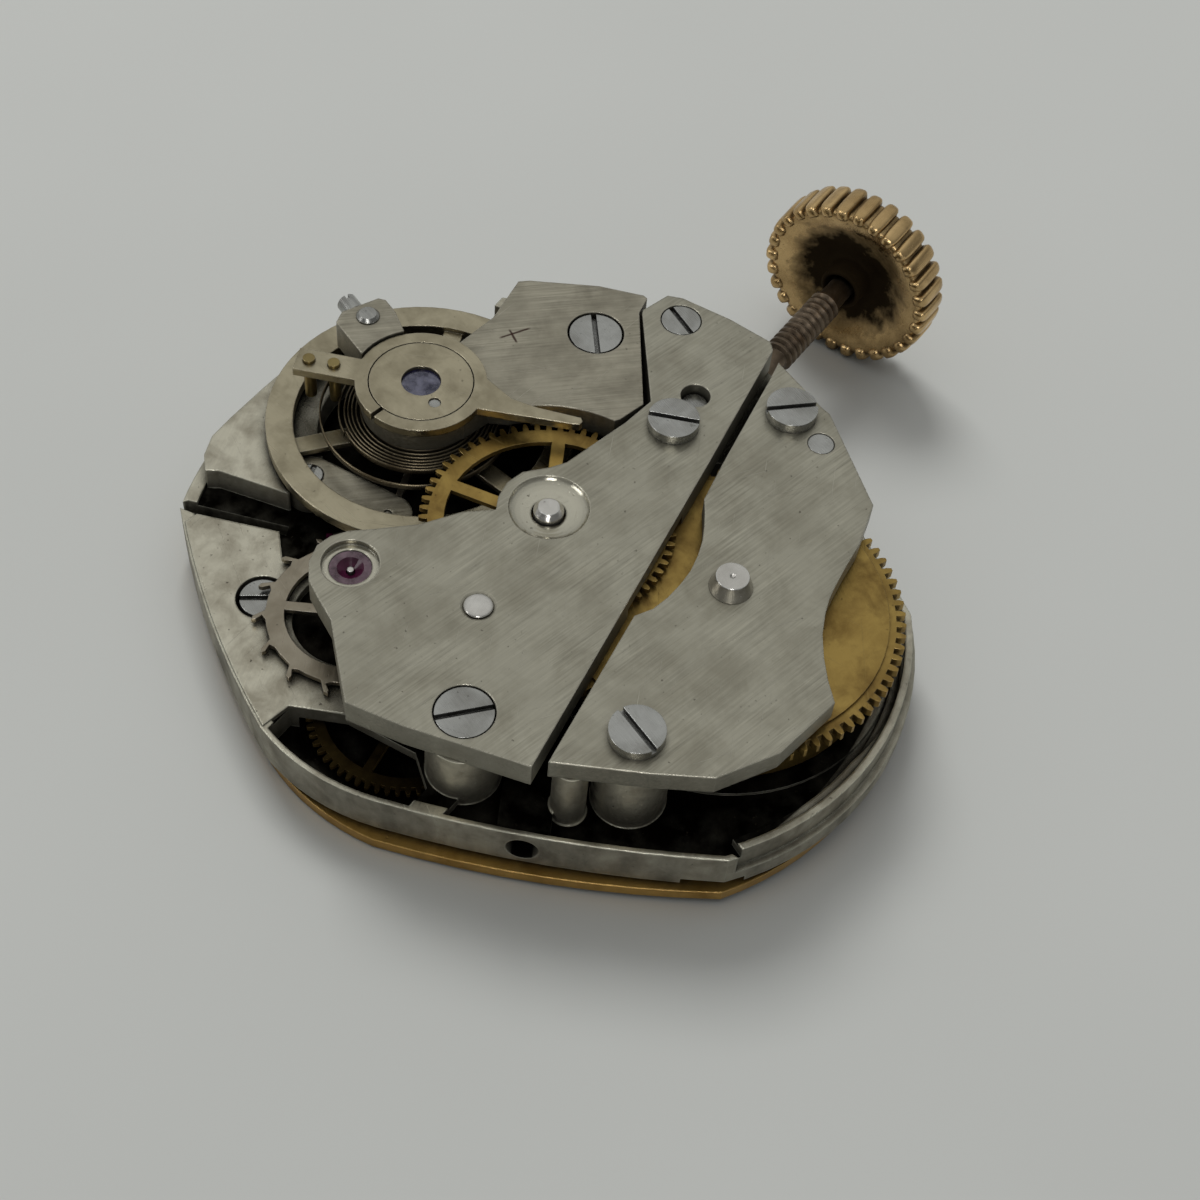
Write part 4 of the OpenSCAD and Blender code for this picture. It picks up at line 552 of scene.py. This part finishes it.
# worn body with a hollow back, ringed by rounded ribs
crown = dict(thick=1.25, over=2.62, rimInner=2.3, rimSink=0.17, hollow=0.46, hub=0.62, hubOut=0.27, bore=0.46,
             segments=120, ribs=30, ribWide=0.43, ribDeep=0.46, ribLong=1.28, ribMiddle=0.52, ribProud=0.02,
             ribLeast=(0.92, 0.90, 0.93), ribMost=(1.0, 1.06, 1.0), seed=4)
rim = crown["over"] - crown["rimSink"]
hollow, hub, hubOut, bore, front = (crown[key] for key in ("hollow", "hub", "hubOut", "bore", "thick"))
# from the bore's floor, round the back, to the middle of the front
boreProfile = [(hollow, 0), (hollow, bore)]
hubProfile = [(-hubOut + 0.06, bore), (-hubOut, bore + 0.05), (-hubOut, hub - 0.06), (-hubOut + 0.05, hub),
              (hollow - 0.12, hub + 0.01), (hollow - 0.02, hub + 0.09), (hollow, hub + 0.28)]
dishProfile = [(hollow - 0.05, 1.2), (hollow - 0.17, 1.55), (hollow - 0.34, 1.85), (0.055, 2.05), (0.015, 2.2),
               (0, crown["rimInner"]), (0.02, rim - 0.06), (0.09, rim)]
frontProfile = [(front - 0.4, rim), (front - 0.28, rim - 0.03), (front - 0.12, rim - 0.2),
                (front - 0.03, rim - 0.5), (front, rim - 0.9), (front, 0)]
crownBody = lathe("crown_body", boreProfile + hubProfile + dishProfile + frontProfile, crown["segments"],
                  (stemAxis["crownBack"], stemAxis["y"], stemAxis["z"]), (1, 0, 0), materials["crown_gold"])

ribValues = {
    "Count": crown["ribs"], "Ring Radius": (crown["over"] - crown["ribDeep"] / 2 + crown["ribProud"]) * mm,
    "Rib Size": (crown["ribDeep"] * mm, crown["ribWide"] * mm, crown["ribLong"] * mm),
    "Least Scale": crown["ribLeast"], "Most Scale": crown["ribMost"],
    "Centre": ((stemAxis["crownBack"] + crown["ribMiddle"]) * mm, stemAxis["y"] * mm, stemAxis["z"] * mm),
    "Seed": crown["seed"], "Finish": materials["crown_gold"]}
tree, given = newTree("ribRing", ribValues)
ring = addNode(tree, "GeometryNodeMeshCircle", {"Vertices": given["Count"], "Radius": given["Ring Radius"]})
block = addNode(tree, "GeometryNodeMeshCube", {
    "Size": given["Rib Size"], "Vertices X": 3, "Vertices Y": 3, "Vertices Z": 3})
rounded = addNode(tree, "GeometryNodeSubdivisionSurface", {0: block.outputs[0], "Level": 2})
smoothRib = addNode(tree, "GeometryNodeSetShadeSmooth", {0: rounded.outputs[0]})
place = addNode(tree, "GeometryNodeInputPosition").outputs[0]
outward = addNode(tree, "FunctionNodeAlignRotationToVector", {"Vector": place}, axis="X")
worn = addNode(tree, "FunctionNodeRandomValue", {
    0: given["Least Scale"], 1: given["Most Scale"], "Seed": given["Seed"]}, data_type="FLOAT_VECTOR")
scatter = addNode(tree, "GeometryNodeInstanceOnPoints", {
    "Points": ring.outputs[0], "Instance": smoothRib.outputs[0], "Rotation": outward.outputs[0],
    "Scale": worn.outputs[0]})
# the ring is laid flat, then stood up round the stem
stood = addNode(tree, "GeometryNodeTransform", {
    0: scatter.outputs[0], "Rotation": (0, math.pi / 2, 0), "Translation": given["Centre"]})
finishTree(tree, stood.outputs[0], given)
crownRibs = plainPiece("crown_ribs", tree, ribValues)

for piece in (crownBody, crownRibs):
    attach(piece, "stem_and_crown")
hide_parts("crown")

print("third pivot")
# the pivot's end is burnished over into a low dome on the bridge
dome = dict(place=(-3.44, -0.45, 3.5), wide=0.36, proud=0.06, depth=0.17, segments=40)
wide, proud = dome["wide"], dome["proud"]
domeProfile = [(-dome["depth"], 0), (-dome["depth"], wide - 0.1), (0, wide), (0.35 * proud, wide - 0.03),
               (0.6 * proud, wide - 0.1), (0.75 * proud, 0.16), (0.9 * proud, 0.11), (proud, 0.06), (proud, 0)]
thirdDome = lathe("third_pivot_dome", domeProfile, dome["segments"], dome["place"], (0, 0, 1),
                  materials["arbor_steel"])
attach(thirdDome, "movement_frame")

print("floor")
# the movement leans on the dial's edge and the crown, so the floor is slightly out of level with it
paper = dict(halfWidth=400, atCentre=-0.697, slope=-0.0402, rough=0.55,
             darker=(0.605, 0.609, 0.589, 1), lighter=(0.64, 0.644, 0.624, 1))
half = paper["halfWidth"]
corners = [(x * mm, y * mm, (paper["atCentre"] + paper["slope"] * x) * mm)
           for x, y in ((-half, -half), (half, -half), (half, half), (-half, half))]
floorMesh = bpy.data.meshes.new("floor")
floorMesh.from_pydata(corners, [], [(0, 1, 2, 3)])
floor = addPiece("floor", floorMesh)
floorMaterial, tree, surface = newMaterial("floor_paper")
tone = ramp(tree, noise(tree, millimetres(tree), 0.03), 0.3, 0.7)
put(tree, surface, "Base Color", mixColour(tree, tone, paper["darker"], paper["lighter"]))
put(tree, surface, "Roughness", paper["rough"])
put(tree, surface, "Specular IOR Level", 0.3)
floorMesh.materials.append(floorMaterial)

print("studio light")
# brighter overhead and towards the balance side, darker low down
sky = dict(least=0.08, overhead=0.16, glow=0.42, glowTowards=(0.40, 0.42, 0.81), horizon=0.46,
           paleBelow=0.10, darkAbove=0.30, tint=(0.985, 1.0, 0.985, 1))
world = bpy.data.worlds.new("studio")
scene.world = world
world.use_nodes = True
tree = world.node_tree
tree.nodes.clear()
direction = addNode(tree, "ShaderNodeTexCoord").outputs["Generated"]
up = coordinate(tree, direction, "Z")
towards = vectorMaths(tree, "DOT_PRODUCT", direction, sky["glowTowards"]).outputs["Value"]
strength = times(tree, ramp(tree, up, -0.1, 0.9), sky["overhead"])
strength = plus(tree, strength, times(tree, ramp(tree, towards, 0.25, 1.0), sky["glow"]))
strength = plus(tree, strength, sky["least"])
# the horizon is as pale as the floor, for the eye and in what mirrors it
rays = addNode(tree, "ShaderNodeLightPath").outputs
seen = plus(tree, rays["Is Camera Ray"], rays["Is Glossy Ray"])
seen = plus(tree, seen, rays["Is Transmission Ray"], clamp=True)
horizon = times(tree, ramp(tree, up, sky["darkAbove"], sky["paleBelow"]), seen)
strength = plus(tree, strength, times(tree, horizon, minus(tree, sky["horizon"], strength)))
background = addNode(tree, "ShaderNodeBackground", {"Color": sky["tint"], "Strength": strength})
addNode(tree, "ShaderNodeOutputWorld", {0: background.outputs[0]})


def areaLight(name, place, size, power, colour=(1, 1, 1)):
    # a rectangular lamp that looks at the middle of the movement
    light = bpy.data.lights.new(name, "AREA")
    light.shape = "RECTANGLE"
    light.size, light.size_y = size[0] * mm, size[1] * mm
    light.energy = power
    light.color = colour
    lamp = addPiece(name, light)
    lamp.rotation_euler = (-Vector(place)).to_track_quat("-Z", "Y").to_euler()
    lamp.location = Vector(place) * mm
    return lamp


# the window lights the floor; the two strips only show in the metal, along its edges
window = areaLight("window", place=(150, 178, 262), size=(150, 120), power=0.56, colour=(0.99, 1.0, 0.985))
window.visible_glossy = False
leftStrip = areaLight("strip_left", place=(-170, 190, 170), size=(110, 110), power=0.10)
leftStrip.visible_diffuse = False
frontStrip = areaLight("strip_front", place=(-170, -105, 180), size=(70, 110), power=0.14)
frontStrip.visible_diffuse = False

print("camera")
view = dict(place=(-26.0537, -16.8638, 41.1990), down=53.06, turn=59.8187, roll=6.16, lens=60, sensor=36)
down, turn, roll = (math.radians(view[key]) for key in ("down", "turn", "roll"))
ahead = Vector((math.sin(turn) * math.cos(down), math.cos(turn) * math.cos(down), -math.sin(down)))
levelRight = Vector((math.cos(turn), -math.sin(turn), 0))
levelUp = levelRight.cross(ahead)
right = levelRight * math.cos(roll) + levelUp * math.sin(roll)
above = levelUp * math.cos(roll) - levelRight * math.sin(roll)
viewpoint = Matrix((right, above, -ahead)).transposed().to_4x4()
viewpoint.translation = Vector(view["place"]) * mm
camera = addPiece("camera", bpy.data.cameras.new("camera"))
camera.matrix_world = viewpoint
camera.data.sensor_width = view["sensor"]
camera.data.lens = view["lens"]
camera.data.clip_start = 0.001
camera.data.clip_end = 20
scene.camera = camera

scene.view_settings.view_transform = "Standard"
